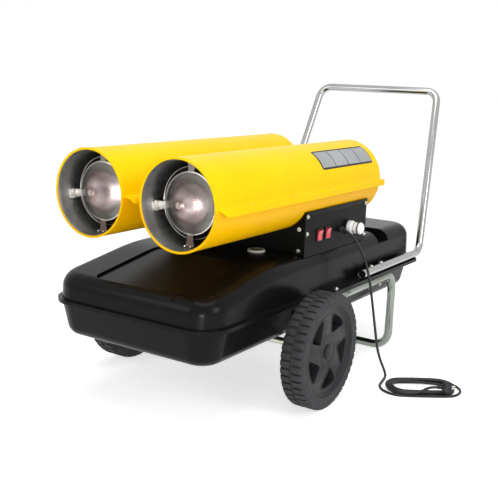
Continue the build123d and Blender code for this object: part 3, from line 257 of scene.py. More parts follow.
def tabSteel():
    # bent tabs, coloured by height: brown at the bottom, lightest at mid height, greyer and darker at the top
    material, tree, shader = newFinish("tabSteel", srgb(190, 188, 184), metal=1.0)
    place = node(tree, "TexCoord")
    split = node(tree, "SeparateXYZ")
    tree.links.new(place.outputs["Object"], split.inputs[0])
    height = node(tree, "MapRange", {"From Min": 0.57, "From Max": 0.83})
    tree.links.new(split.outputs["Z"], height.inputs["Value"])
    stops = [
        (0.12, srgb(112, 94, 88)),
        (0.34, srgb(178, 172, 168)),
        (0.56, srgb(214, 212, 210)),
        (0.86, srgb(136, 130, 128)),
    ]
    colourBy(tree, shader, height.outputs["Result"], stops)
    roughBy(tree, shader, noise(tree, 60, 3), 0.3, 0.42)
    bumpBy(tree, shader, [(noise(tree, 900, 2), 1)], 0.00001, 0.3)
    return material


def mouldedPlastic(name, colour, deep, rough, grain, depth, shine=0.3):
    colour, deep = srgb(*colour), srgb(*deep)
    material, tree, shader = newFinish(name, colour, Specular_IOR_Level=shine)
    cloud = noise(tree, 7, 4, 0.6)
    colourBy(tree, shader, cloud, [(0.3, deep), (0.7, colour)])
    roughBy(tree, shader, noise(tree, 35, 4, 0.6), rough[0], rough[1])
    bumpBy(tree, shader, [(noise(tree, grain, 3, 0.6), 1), (noise(tree, 14, 2), 3)], depth, 0.6)
    return material


def platedTube(name, colour, deep, tinge, rough):
    # zinc plate with a passivation tinge and rubbed spots
    colour, deep, tinge = srgb(*colour), srgb(*deep), srgb(*tinge)
    material, tree, shader = newFinish(name, colour, metal=1.0)
    cloud = noise(tree, 3, 3, 0.5)
    colourBy(tree, shader, cloud, [(0.26, deep), (0.42, colour), (0.62, colour), (0.8, tinge)])
    roughBy(tree, shader, noise(tree, 18, 3, 0.5), rough[0], rough[1])
    bumpBy(tree, shader, [(noise(tree, 700, 2), 1)], 0.00001, 0.4)
    return material


def solidRubber(name, colour, deep, rough, grain=900):
    colour, deep = srgb(*colour), srgb(*deep)
    material, tree, shader = newFinish(name, colour, Specular_IOR_Level=0.4)
    dust = noise(tree, 11, 5, 0.7)
    colourBy(tree, shader, dust, [(0.32, deep), (0.68, colour)])
    roughBy(tree, shader, noise(tree, 50, 4), rough[0], rough[1])
    bumpBy(tree, shader, [(noise(tree, grain, 3), 1)], 0.00012, 0.7)
    return material


def clearLens():
    material, tree, shader = newFinish(
        "gaugeLens", srgb(235, 240, 238), 0.08, IOR=1.49, Transmission_Weight=0.9
    )
    roughBy(tree, shader, noise(tree, 60, 3), 0.05, 0.12)
    return material


def signalRed():
    material, tree, shader = newFinish(
        "signalRed", srgb(222, 52, 66), 0.28, Coat_Weight=0.4, Coat_Roughness=0.1
    )
    colourBy(tree, shader, noise(tree, 40, 3), [(0.3, srgb(212, 46, 58)), (0.7, srgb(230, 64, 78))])
    bumpBy(tree, shader, [(noise(tree, 500, 2), 1)], 0.00004, 0.4)
    return material


# slot: name, colour, deeper colour, roughness, then what the maker takes besides
plastics = {
    "tank_plastic": ("tankPlastic", (17, 17, 17), (13, 13, 13), (0.2, 0.27), 520, 0.00002, 0.09),
    "cap_plastic": ("capPlastic", (20, 20, 21), (16, 16, 17), (0.4, 0.52), 700, 0.00006, 0.12),
    "housing_paint": ("housingPaint", (14, 14, 13), (11, 11, 10), (0.30, 0.4), 800, 0.00005, 0.06),
    "rim_plastic": ("rimPlastic", (38, 38, 41), (32, 32, 35), (0.36, 0.5), 600, 0.00007, 0.2),
    "switch_black": ("switchBlack", (26, 26, 27), (22, 22, 23), (0.28, 0.38), 900, 0.00004),
    "plug_white": ("plugWhite", (246, 247, 248), (238, 240, 241), (0.24, 0.36), 600, 0.00005),
    "motor_paint": ("motorPaint", (58, 62, 66), (48, 51, 55), (0.4, 0.52), 500, 0.00010),
    "gauge_white": ("gaugeDial", (206, 207, 202), (190, 192, 186), (0.3, 0.4), 500, 0.00004),
    "darkTrim": ("darkTrim", (22, 22, 23), (18, 18, 19), (0.4, 0.5), 700, 0.00004),
}
steels = {
    "liner_steel": ("linerSteel", (176, 178, 176), (140, 142, 142), (0.34, 0.5), (1, 0.06, 1), 90),
    "chamber_steel": ("chamberSteel", (170, 166, 160), (118, 110, 106), (0.32, 0.5), (1, 0.1, 1), 70),
    "pump_cast": ("pumpCasting", (168, 168, 164), (132, 132, 130), (0.42, 0.6), (1, 1, 1), 260, 0.9),
    "fan_sheet": ("fanSheet", (178, 180, 182), (150, 152, 154), (0.32, 0.48), (1, 1, 0.2), 120),
    "satinPlate": ("satinPlate", (168, 170, 172), (154, 156, 158), (0.4, 0.5), (1, 0.05, 1), 160, 0.35),
}
rubbers = {
    "tyre_rubber": ("tyreRubber", (44, 45, 48), (36, 37, 39), (0.62, 0.78)),
    "cord_rubber": ("cordRubber", (26, 26, 29), (20, 20, 22), (0.42, 0.56), 1400),
}
plated = {  # with a third colour, the tinge, before the roughness
    "tube_zinc": ("framePlate", (138, 144, 137), (120, 125, 116), (136, 132, 104), (0.14, 0.24)),
    "bolt_zinc": ("boltPlate", (208, 208, 200), (170, 170, 164), (200, 194, 160), (0.2, 0.34)),
    "wire_steel": ("guardWire", (190, 190, 186), (150, 150, 146), (186, 184, 168), (0.22, 0.36)),
    "copper_line": ("copperLine", (200, 124, 84), (150, 86, 58), (168, 110, 76), (0.28, 0.44)),
    "strainer_mesh": ("strainerMesh", (186, 184, 172), (150, 148, 138), (176, 172, 150), (0.34, 0.48)),
    "handlePlate": ("handlePlate", (170, 172, 170), (156, 158, 154), (160, 160, 144), (0.12, 0.2)),
    "yellowZinc": ("yellowZinc", (226, 196, 88), (206, 176, 70), (232, 206, 120), (0.3, 0.42)),
}


def fillTable(maker, table):
    return {slot: maker(*values) for slot, values in table.items()}


# two copies of one paint: the lower casing's copy is painted shade, deeper orange for the downward-facing
# half
upperPaint = casingPaint("casingPaintUpper", paintLook["upper"], paintLook["upperDeep"])
shadedLowerPaint = casingPaint("casingPaintLower", paintLook["lower"], paintLook["lowerShadedDeep"])
finishes = {
    "casing_paint": upperPaint,
    "cone_steel": coneSteel(),
    "rocker_red": signalRed(),
    "gauge_lens": clearLens(),
    "needle_red": signalRed(),
    "tabSteel": tabSteel(),
    **fillTable(mouldedPlastic, plastics),
    **fillTable(brushedSteel, steels),
    **fillTable(solidRubber, rubbers),
    **fillTable(platedTube, plated),
}

for nodeObject in frame["nodes"].values():
    for slot in nodeObject.material_slots:
        slot.material = finishes[slot.material.name.split(".")[0]]
for slot in frame["nodes"]["handle_tube"].material_slots:
    slot.material = finishes["handlePlate"]
print("finishes made,", len(finishes))


# floor and soft studio light
studio = {
    "floorColour": srgb(236, 236, 236),
    "floorLift": 0.62,  # added for the camera alone, so that the floor reads as white
    "skyLight": 0.46,
    "top": {"place": (0.3, -0.6, 3.4), "aim": (0.0, -0.1, 0.5), "size": 2.6, "power": 54},
    "front": {"place": (-1.6, -3.4, 2.2), "aim": (0.0, -0.3, 0.6), "size": 1.8, "power": 18},
    "side": {"place": (3.4, -0.9, 1.9), "aim": (0.2, 0.0, 0.5), "size": 1.6, "power": 36},
    "strip": {
        "place": (2.0, -3.48, 0.5),
        "aim": (0.22, -0.84, 0.42),
        "size": 0.42,
        "tall": 0.94,
        "power": 44,
    },
}


def makeFloor(look):
    shape = bmesh.new()
    bmesh.ops.create_grid(shape, x_segments=2, y_segments=2, size=60)
    mesh = bpy.data.meshes.new("studioFloor")
    shape.to_mesh(mesh)
    shape.free()
    floor = bpy.data.objects.new("studioFloor", mesh)
    scene.collection.objects.link(floor)
    material, tree, shader = newFinish("studioFloor", look["floorColour"], 0.9, Specular_IOR_Level=0.1)
    rays = node(tree, "LightPath")
    seen = node(tree, "Math", operation="MAXIMUM")
    tree.links.new(rays.outputs["Is Camera Ray"], seen.inputs[0])
    tree.links.new(rays.outputs["Is Glossy Ray"], seen.inputs[1])
    lift = node(tree, "Math", operation="MULTIPLY")
    lift.inputs[1].default_value = look["floorLift"]
    tree.links.new(seen.outputs[0], lift.inputs[0])
    shader.inputs["Emission Color"].default_value = (1, 1, 1, 1)
    tree.links.new(lift.outputs[0], shader.inputs["Emission Strength"])
    mesh.materials.append(material)


def makeSky(look):
    world = bpy.data.worlds.new("studioSky")
    world.use_nodes = True
    tree = world.node_tree
    rays = node(tree, "LightPath")
    seen = node(tree, "Math", operation="MAXIMUM")
    tree.links.new(rays.outputs["Is Camera Ray"], seen.inputs[0])
    tree.links.new(rays.outputs["Is Transmission Ray"], seen.inputs[1])
    shine = node(tree, "Math", operation="MAXIMUM")
    tree.links.new(seen.outputs[0], shine.inputs[0])
    tree.links.new(rays.outputs["Is Glossy Ray"], shine.inputs[1])
    level = node(tree, "MapRange", {"To Min": look["skyLight"], "To Max": 1.0})
    tree.links.new(shine.outputs[0], level.inputs["Value"])
    back = tree.nodes["Background"]
    back.inputs["Color"].default_value = (1, 1, 1, 1)
    tree.links.new(level.outputs["Result"], back.inputs["Strength"])
    scene.world = world


def makeLamp(name, look):
    light = bpy.data.lights.new(name, "AREA")
    light.shape = "RECTANGLE" if "tall" in look else "DISK"
    light.size = look["size"]
    light.size_y = look.get("tall", look["size"])
    light.energy = look["power"]
    lamp = bpy.data.objects.new(name, light)
    lamp.location = look["place"]
    aim = Vector(look["aim"]) - Vector(look["place"])
    lamp.rotation_euler = aim.to_track_quat("-Z", "Y").to_euler()
    scene.collection.objects.link(lamp)


makeFloor(studio)
makeSky(studio)
for lampName in ("top", "front", "side", "strip"):
    makeLamp(lampName + "Lamp", studio[lampName])
scene.view_settings.view_transform = "Standard"
print("studio set")


# drawing helpers
def onAxis(axis, radius, along, turn):
    c, s = radius * cos(turn), radius * sin(turn)
    return {"x": (along, c, s), "y": (c, along, s), "z": (c, s, along)}[axis]


def joinRings(shape, rings, closed=True, around=False):
    # rows of points joined by faces; closed rings, and around joins the last row to the first
    rows = [[shape.verts.new(point) for point in ring] for ring in rings]
    count = len(rows[0])
    for k in range(len(rows) if around else len(rows) - 1):
        a, b = rows[k], rows[(k + 1) % len(rows)]
        for i in range(count if closed else count - 1):
            j = (i + 1) % count
            shape.faces.new((a[i], a[j], b[j], b[i]))
    if closed and not around:
        shape.faces.new(rows[0][::-1])
        shape.faces.new(rows[-1])


def shifted(first, second, points):
    # pairs given as distances from (first, second)
    return [(first + a, second + b) for a, b in points]


def turned(shape, outline, centre=(0, 0, 0), axis="y", steps=96, start=0, sweep=360, closed=True):
    # (radius, along) pairs turned about an axis through centre
    full = sweep >= 360
    count = steps if full else steps + 1
    rings = []
    for k in range(count):
        turn = radians(start + sweep * k / steps)
        ring = []
        for radius, along in outline:
            x, y, z = onAxis(axis, radius, along, turn)
            ring.append((centre[0] + x, centre[1] + y, centre[2] + z))
        rings.append(ring)
    joinRings(shape, rings, closed, full)


def frameAt(place, direction):
    way = Vector(direction).normalized()
    return Matrix.Translation(place) @ way.to_track_quat("Z", "Y").to_matrix().to_4x4()


def spun(shape, at, outline, steps):
    # (radius, height) pairs turned about the z axis of a placed frame
    rings = []
    for k in range(steps):
        turn = 2 * pi * k / steps
        rings.append([tuple(at @ Vector((r * cos(turn), r * sin(turn), z))) for r, z in outline])
    joinRings(shape, rings, False, True)


def hexagonal(shape, at, levels):
    # (corner radius, height) pairs as six-sided rings
    sixths = [pi / 3 * k for k in range(6)]
    joinRings(shape, [[tuple(at @ Vector((r * cos(a), r * sin(a), z))) for a in sixths] for r, z in levels])


def rod(shape, start, end, radius, steps=24, edge=0.5):
    # round bar with softened ends
    start, end = Vector(start), Vector(end)
    length = (end - start).length
    outline = [(0, 0), (radius - edge, 0), (radius, edge)]
    outline += [(radius, length - edge), (radius - edge, length), (0, length)]
    spun(shape, frameAt(start, end - start), outline, steps)


def block(shape, low, high, edge=0.6, turn=None, segments=2):
    # box between two corners with rounded edges
    size = [high[i] - low[i] for i in range(3)]
    middle = [(high[i] + low[i]) / 2 for i in range(3)]
    place = Matrix.Translation(middle) @ Matrix.Diagonal((*size, 1))
    if turn is not None:
        place = turn @ place
    made = bmesh.ops.create_cube(shape, size=1, matrix=place)
    if edge:
        edges = list({e for v in made["verts"] for e in v.link_edges})
        bmesh.ops.bevel(
            shape, geom=made["verts"] + edges, offset=edge, segments=segments, affect="EDGES", profile=0.5
        )


def hexBolt(shape, place, direction, across, height, washer):
    # hexagon head with a chamfered top, on a washer
    at = frameAt(place, direction)
    low = 1.6
    disc = [(0, 0), (washer - 0.3, 0), (washer, 0.3), (washer, 1.3), (washer - 0.3, low), (0, low)]
    spun(shape, at, disc, 28)
    corner, top = across / sqrt(3), low + height
    hexagonal(shape, at, [(corner, low), (corner, low + height * 0.82), (corner * 0.86, top), (0.01, top)])


def panScrew(shape, place, direction, radius, height, washer=0.0):
    # domed screw head with a round recess, on a thin washer where one is given
    at = frameAt(place, direction)
    low = 0.0
    outline = []
    if washer:
        outline += [(washer, 0), (washer, 0.7), (washer - 0.4, 1.1), (radius + 0.1, 1.1)]
        low = 1.1
    outline += [(radius, low), (radius, low + height * 0.35), (radius * 0.86, low + height * 0.78)]
    outline += [(radius * 0.55, low + height), (radius * 0.3, low + height)]
    outline += [(radius * 0.22, low + height * 0.55), (0, low + height * 0.5)]
    spun(shape, at, outline, 20)


def cutSheet(shape, outline, holes, thickness, edge, place, smooth=False):
    # flat sheet with openings, drawn as a filled curve with rounded edges
    curve = bpy.data.curves.new("sheet", "CURVE")
    curve.dimensions = "2D"
    curve.fill_mode = "BOTH"
    curve.extrude = thickness / 2 - edge
    curve.bevel_depth = edge
    curve.bevel_resolution = 2
    curve.resolution_u = 6
    for points in [outline] + holes:
        soft = smooth == "all" or (smooth and points is not outline)
        line = curve.splines.new("NURBS" if soft else "POLY")
        line.points.add(len(points) - 1)
        for spot, point in zip(line.points, points):
            spot.co = (point[0], point[1], 0, 1)
        if soft:
            line.order_u = 3
        line.use_cyclic_u = True
    maker = bpy.data.objects.new("sheet", curve)
    scene.collection.objects.link(maker)
    bpy.context.view_layer.update()
    mesh = bpy.data.meshes.new_from_object(maker.evaluated_get(bpy.context.evaluated_depsgraph_get()))
    mesh.transform(place)
    shape.from_mesh(mesh)
    bpy.data.objects.remove(maker)
    bpy.data.curves.remove(curve)
    bpy.data.meshes.remove(mesh)


def ovalPoints(first, second, wide, tall, steps):
    spots = [2 * pi * k / steps for k in range(steps)]
    return [(first + wide * cos(a), second + tall * sin(a)) for a in spots]


def softenEdges(obj, width, angle=32):
    bevel = obj.modifiers.new("softEdges", "BEVEL")
    bevel.width = width * mm
    bevel.segments = 2
    bevel.limit_method = "ANGLE"
    bevel.angle_limit = radians(angle)
    bevel.harden_normals = False


def makePiece(name, shape, body, slotName, nodes=(), edge=0, smooth=38, finish=None, origin=None):
    mesh = bpy.data.meshes.new(name)
    bmesh.ops.remove_doubles(shape, verts=shape.verts, dist=0.002)
    bmesh.ops.recalc_face_normals(shape, faces=shape.faces)
    if origin is not None:
        bmesh.ops.translate(shape, vec=-Vector(origin), verts=shape.verts)
    bmesh.ops.scale(shape, vec=(mm, mm, mm), verts=shape.verts)
    shape.to_mesh(mesh)
    shape.free()
    mesh.shade_smooth()
    mesh.set_sharp_from_angle(angle=radians(smooth))
    mesh.materials.append(finish or finishes[slotName])
    made = bpy.data.objects.new(name, mesh)
    if origin is not None:
        made.location = Vector(origin) * mm
    scene.collection.objects.link(made)
    if edge:
        softenEdges(made, edge)
    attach(made, body)
    if nodes:
        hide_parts(*nodes)
    return made


# mains cord: down from the gland, past the tubes, into a loose bundle on the floor
cord = {
    "radius": 4.75,
    "exit": (324.535, -36.25, 539.528),
    "droop": 20.0,
    "firstRun": 21.0,
    "route": [
        (366.0, 314.5, 513.0),
        (383.0, 321.0, 483.0),
        (396.0, 333.0, 445.0),
        (406.0, 346.0, 399.0),
        (413.0, 359.0, 347.0),
        (419.0, 370.0, 288.0),
        (426.0, 380.0, 222.0),
        (434.0, 387.0, 160.0),
        (439.0, 401.0, 97.0),
        (450.0, 406.0, 60.0),
        (465.0, 403.0, 35.0),
        (480.0, 392.0, 19.0),
        (492.0, 372.0, 9.0),
    ],
    "length": 3.95,
}
bundle = {
    "centre": (635.0, 358.0),
    "turn": 35.0,
    "halfRun": 52.0,
    "reach": 16.0,
    "outer": 75.0,
    "step": 5.2,
    "halfTurns": 5,
    "layer": 10.1,
    "entry": 185.0,
    "pointsPerBend": 7,
    "plugUp": 39.05,
}


def bundlePoint(u, n, z):
    c, s = cos(radians(bundle["turn"])), sin(radians(bundle["turn"]))
    x = bundle["centre"][0] + u * c - n * s
    return (x, axleY + bundle["centre"][1] + u * s + n * c, z)


def bundlePoints():
    # long loops wound in and out again, one layer on the other
    inward = [bundle["outer"] - bundle["step"] * k for k in range(bundle["halfTurns"] + 1)]
    lines = inward + inward[-2::-1]
    floorZ = cord["radius"] + 0.15
    bends = [(-1, bundle["outer"] + bundle["step"], bundle["outer"], bundle["entry"] - bundle["turn"])]
    bends += [(1 if k % 2 == 0 else -1, lines[k], lines[k + 1], None) for k in range(len(lines) - 1)]
    points = []
    count = bundle["pointsPerBend"]
    for k, (end, arrive, leave, first) in enumerate(bends):
        z = floorZ + (bundle["layer"] if k > bundle["halfTurns"] else 0)
        reach = bundle["halfRun"] + (bundle["reach"] if k <= 1 else 0)
        radius = (arrive + leave) / 2 * 1.012
        front, back = (arrive, leave) if end > 0 else (leave, arrive)
        middle = (back - front) / 2
        start = (-90 if end > 0 else 90) if first is None else first
        stop = 90 if end > 0 else 270
        for j in range(count):
            turn = radians(start + (stop - start) * (j + 0.5) / count)
            loose = 1.6 * sin(2.4 * k + 1.1 * j)
            u = end * reach + radius * cos(turn) + loose * 0.5
            points.append(bundlePoint(u, middle + radius * sin(turn), z))
    return points


def makeCord():
    x, y, z = cord["exit"]
    droop = radians(cord["droop"])
    points = [(x, y, z), (x + cord["firstRun"] * cos(droop), y, z - cord["firstRun"] * sin(droop))]
    points += [(px, axleY + back, pz) for px, back, pz in cord["route"]]
    points += bundlePoints()
    plugSide = -bundle["outer"]
    top = bundle["plugUp"]
    points.append(bundlePoint(-44, plugSide, 15.6))
    points.append(bundlePoint(-18, plugSide, 22))
    points.append(bundlePoint(6, plugSide, 35))
    points.append(bundlePoint(22, plugSide, top))
    points.append(bundlePoint(bundle["halfRun"] * 0.75, plugSide, top))
    curve = bpy.data.curves.new("mainsCord", "CURVE")
    curve.dimensions = "3D"
    curve.bevel_depth = cord["radius"] * mm
    curve.bevel_resolution = 5
    curve.resolution_u = 8
    curve.use_fill_caps = True
    line = curve.splines.new("NURBS")
    line.points.add(len(points) - 1)
    for spot, point in zip(line.points, points):
        spot.co = (point[0] * mm, point[1] * mm, point[2] * mm, 1)
    line.order_u = 3
    line.use_endpoint_u = True
    line.use_smooth = True
    made = bpy.data.objects.new("mainsCord", curve)
    scene.collection.objects.link(made)
    curve.materials.append(finishes["cord_rubber"])
    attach(made, "heater")
    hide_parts("mains_lead", "mains_coil")
    return made


mainsCord = makeCord()
print("cord laid")

plug = {"pin": 2.4, "pinSpacing": 19.0, "pinLength": 19.0}


def makePlug(look):
    # moulded two pin plug with grip rings, its sleeve round the cord
    shape = bmesh.new()
    place = Vector(bundlePoint(bundle["halfRun"] * 0.75, -bundle["outer"], bundle["plugUp"]))
    turn = radians(bundle["turn"])
    way = Vector((cos(turn), sin(turn), 0))
    at = frameAt(place, way)
    outline = [(4.9, 0), (6.4, 0.3)]
    for k in range(4):  # ribbed sleeve
        z = 1.2 + 3.4 * k
        outline += [(6.7, z), (6.7, z + 1.7), (5.8, z + 2.0), (5.8, z + 3.0)]
    outline += [(7.6, 15.4), (9.6, 16.4), (12.5, 20), (16.2, 25), (18.4, 28.5), (19, 31), (19, 33)]
    outline += [(18.2, 33.6), (18.2, 35.4), (19, 36), (19, 38), (18.2, 38.6), (18.2, 40.4)]
    outline += [(19, 41), (19, 44.4), (18.2, 45.7), (16, 46), (0, 46)]
    spun(shape, at, outline, 48)
    body = makePiece("mainsPlug", shape, "heater", "cord_rubber", ("mains_plug",), smooth=50)
    pins = bmesh.new()
    across = at.to_3x3() @ Vector((1, 0, 0))
    if abs(across.z) > 0.7:
        across = at.to_3x3() @ Vector((0, 1, 0))
    for side in (-1, 1):
        root = place + way * 45.6 + across * side * look["pinSpacing"] / 2
        rod(pins, root, root + way * (look["pinLength"] + 0.2), look["pin"], 20, 0.9)
    pinPiece = makePiece("mainsPlugPins", pins, "heater", "bolt_zinc")
    return body, pinPiece


mainsPlug, plugPins = makePlug(plug)

glandLook = {"x": 301.5, "y": -36.25, "z": 545.0, "nut": 8.0, "droop": 20.0, "corner": 12.0}


def makeGland(look):
    # hexagon gland nut with a domed cap and a short ribbed strain relief
    shape = bmesh.new()
    at = frameAt((look["x"], look["y"], look["z"]), (1, 0, 0))
    corner = look["corner"]
    hexagonal(shape, at, [(corner, 0), (corner, 4.6), (corner * 0.9, 5.4)])
    turned(
        shape,
        [(0, 5.2), (10.4, 5.2), (11.0, 6.0), (10.8, 7.4), (9.4, 9.0), (0, 9.4)],
        (look["x"], look["y"], look["z"]),
        "x",
        36,
        closed=False,
    )
    droop = radians(look["droop"])
    root = Vector((look["x"] + look["nut"], look["y"], look["z"]))
    way = Vector((cos(droop), 0, -sin(droop)))
    at = frameAt(root, way)
    outline = [(0, -2), (9.6, -2), (9.4, 0.6)]
    for k in range(3):
        z = 1.4 + 4.6 * k
        r = 9.0 - 1.0 * k
        outline += [(r, z), (r - 0.2, z + 2.4), (r - 1.5, z + 2.8), (r - 1.6, z + 4.0)]
    outline += [(6.0, 15.4), (5.4, 16.0), (4.6, 16.0)]
    spun(shape, at, outline, 36)
    return makePiece("cordGland", shape, "heater", "switch_black", ("cord_gland",), smooth=35)


gland = makeGland(glandLook)
print("plug and gland made")

# twin barrels: two half casings each, joined at flanges, with a rolled front rim
casing = {
    "sheet": 1.5,
    "flange": 19.0,
    "flangeStart": 18.0,
    "lead": 40.0,
    "fold": 20.0,
    "sweep": 9.0,
    "seamGap": 0.25,
    "arcSteps": 72,
    "screwInset": 9.5,
}


def flangeShare(y):
    # 0 at the front rim, where the seam is plain, and 1 where the flange stands out in full
    share = (y - barrelFront - casing["flangeStart"]) / (casing["lead"] - casing["flangeStart"])
    return min(max(share, 0), 1)


def casingHalf(shape, x, upper):
    way = 1 if upper else -1
    outer, inner = barrelRadius, barrelRadius - casing["sheet"]
    gap, thick = casing["seamGap"], casing["sheet"] + 0.1
    steps = casing["arcSteps"]
    lead = casing["lead"]
    stations = [barrelFront + along for along in (3, 10, casing["flangeStart"], 26, 34, lead, lead + 3)]
    stations += [barrelFront + lead + 3 + 120 * k for k in range(1, 9)]
    stations += [barrelRear - 3, barrelRear]
    rings = []
    for y in stations:
        share = flangeShare(y)
        reach = outer + 0.6 + (casing["flange"] - 0.6) * share
        sweep = min(casing["sweep"] if upper else 2.2, (reach - outer) * 0.8)
        if upper:
            under = -casing["fold"] * share
            half = [(reach - 0.2, gap), (reach - 0.2, under), (reach + 0.5, under - 0.3)]
            half += [(reach + 1.2, under), (reach + 1.3, thick - 1.4)]
            half += [(reach + 0.9, thick - 0.4), (reach, thick)]
        else:
            half = [(reach - 1.0, gap), (reach - 0.7, gap + 0.4)]
            half += [(reach - 0.7, thick - 0.4), (reach - 1.0, thick)]
        for k in range(6):
            turn = pi / 10 * k
            half.append((outer + sweep * (1 - sin(turn)), thick + sweep * (1 - cos(turn))))
        first = (thick + sweep) / outer
        arc = [first + (pi - 2 * first) * k / steps for k in range(1, steps)]
        ring = half + [(outer * cos(a), outer * sin(a)) for a in arc]
        ring += [(-px, pz) for px, pz in reversed(half)]
        low = gap / inner
        arc = [pi - low - (pi - 2 * low) * k / steps for k in range(steps + 1)]
        ring += [(inner * cos(a), inner * sin(a)) for a in arc]
        rings.append([(x + px, y, barrelZ + way * pz) for px, pz in ring])
    joinRings(shape, rings)
    # rolled front rim with its turned-in lip
    rim = [(-0.2, 9.0), (0.5, 7.4), (1.1, 5.0), (1.3, 2.6), (0.8, 0.8), (-0.6, 0.0), (-2.6, 0.1), (-4.6, 0.7)]
    rim += [(-5.8, 1.7), (-6.2, 3.0), (-5.6, 4.0), (-4.6, 3.8), (-3.2, 3.4), (-2.0, 4.2), (-1.6, 9.0)]
    # hem at the rear edge
    hem = [(-0.2, -7.0), (0.7, -5.4), (0.9, -2.4), (0.3, -0.5)]
    hem += [(-1.0, 0), (-2.2, -0.6), (-2.4, -5.6), (-1.6, -7.0)]
    start = 0.12 if upper else 180.12  # each half stops short of the seam
    for edge, outline in ((barrelFront, rim), (barrelRear, hem)):
        turned(shape, shifted(barrelRadius, edge, outline), (x, 0, barrelZ), "y", 72, start, 179.76)


def makeCasings():
    for name, side in sides:
        # the lower halves take the copy of the paint with painted shade
        for half, paint in (("upper", upperPaint), ("lower", shadedLowerPaint)):
            shape = bmesh.new()
            casingHalf(shape, side * barrelX, half == "upper")
            nodes = (name + "_" + half + "_shell",)
            piece = name + half.title() + "Casing"
            makePiece(piece, shape, "heater", "casing_paint", nodes, finish=paint, smooth=40)


def seamScrewPlaces():
    step = (barrelRear - barrelFront - 2 * casing["lead"]) / 4
    for _, side in sides:
        for edge in (-1, 1):
            for k in range(4):
                x = side * barrelX + edge * (barrelRadius + casing["screwInset"])
                yield x, barrelFront + casing["lead"] + step * (k + 0.5)


def makeSeamScrews():
    shape = bmesh.new()
    for x, y in seamScrewPlaces():
        panScrew(shape, (x, y, barrelZ + 1.6), (0, 0, 1), 3.9, 2.4, 6.4)
        hexBolt(shape, (x, y, barrelZ - 1.6), (0, 0, -1), 6.6, 3.0, 5.6)
        rod(shape, (x, y, barrelZ - 6.4), (x, y, barrelZ + 1.0), 2.0, 16)
    makePiece("seamScrews", shape, "heater", "bolt_zinc", ("seam_screws",), finish=finishes["yellowZinc"])


makeCasings()
makeSeamScrews()
print("casings made")


# outlet: liner, burner can, nose cone on four tabs
outlet = {
    "liner": (133.5, 132.5),
    "linerStart": barrelFront + 3.3,
    "linerLength": 699.8,
    "can": 100.0,
    "canMouth": 109.0,
    "canStart": barrelFront + 76,
    "canLength": 510.4,
    "coneRimY": barrelFront + 68,
    "tipY": barrelFront + 4,
    "tabWidth": 23.0,
    "tabFoot": 20.0,
    "tabTurns": (9, 90, 171, 270),
}


def makeLiner(name, x, look):
    start, end = look["linerStart"], look["linerStart"] + look["linerLength"]
    outer, inner = look["liner"]
    seat = barrelRadius - casing["sheet"] - 0.3
    shape = bmesh.new()
    line = [(seat - 0.6, start), (seat, start + 1.2), (seat, start + 6), (seat - 1.5, start + 8)]
    line += [(outer, start + 11), (outer, end - 11), (seat - 1.5, end - 8), (seat, end - 6)]
    line += [(seat, end - 0.6), (inner + 0.4, end), (inner, end - 1), (inner, start + 12)]
    line += [(inner + 1.6, start + 7), (inner + 3.4, start + 1), (seat - 3, start)]
    turned(shape, line, (x, 0, barrelZ), "y", 128)
    for k in range(12):  # small rivets that hold the liner's lap
        y = start + 40 + 52 * k
        turn = radians(104)
        spot = (x + inner * cos(turn), y, barrelZ + inner * sin(turn))
        panScrew(shape, spot, (-cos(turn), 0, -sin(turn)), 2.4, 1.2)
    nodes = (name + "_inner_liner",)
    makePiece(name + "Liner", shape, "heater", "liner_steel", nodes, smooth=50, origin=(x, 0, barrelZ))


def makeBurnerCan(name, x, look):
    # burner can with a flared, rolled front edge, three beads and its four stays
    start, end = look["canStart"], look["canStart"] + look["canLength"]
    r = look["can"]
    shape = bmesh.new()
    m = look["canMouth"]
    line = [(r - 1.5, start + 22), (r + 1, start + 16), (m - 3.4, start + 8), (m - 2.4, start + 3.4)]
    line += [(m - 2.2, start + 1.2), (m - 0.6, start), (m + 0.8, start + 0.6), (m + 1.4, start + 2.6)]
    line += [(m + 0.9, start + 4.6), (m - 0.8, start + 8), (r + 3.6, start + 16), (r, start + 24)]
    for bead in (start + 90, start + 270, end - 60):
        line += [(r, bead - 7), (r + 1.6, bead - 3), (r + 2.2, bead), (r + 1.6, bead + 3), (r, bead + 7)]
    line += [(r, end - 3), (r - 3, end), (47, end), (47, end - 1.5), (r - 4, end - 1.5), (r - 1.5, end - 4)]
    for bead in (end - 60, start + 270, start + 90):
        line += [(r - 1.5, bead + 7), (r + 0.4, bead), (r - 1.5, bead - 7)]
    turned(shape, line, (x, 0, barrelZ), "y", 96)
    stayY = end - 28
    for k in range(4):
        turn = Matrix.Translation((x, 0, barrelZ)) @ Matrix.Rotation(-pi / 2 * k, 4, "Y")
        block(shape, (r - 1, stayY, -1.2), (look["liner"][1] - 0.4, stayY + 14, 1.2), 0.4, turn)
        block(shape, (r, stayY - 5, -9), (r + 1.6, stayY + 19, 9), 0.4, turn)
    nodes = (name + "_combustion_chamber",)
    makePiece(name + "BurnerCan", shape, "heater", "chamber_steel", nodes, smooth=45, origin=(x, 0, barrelZ))


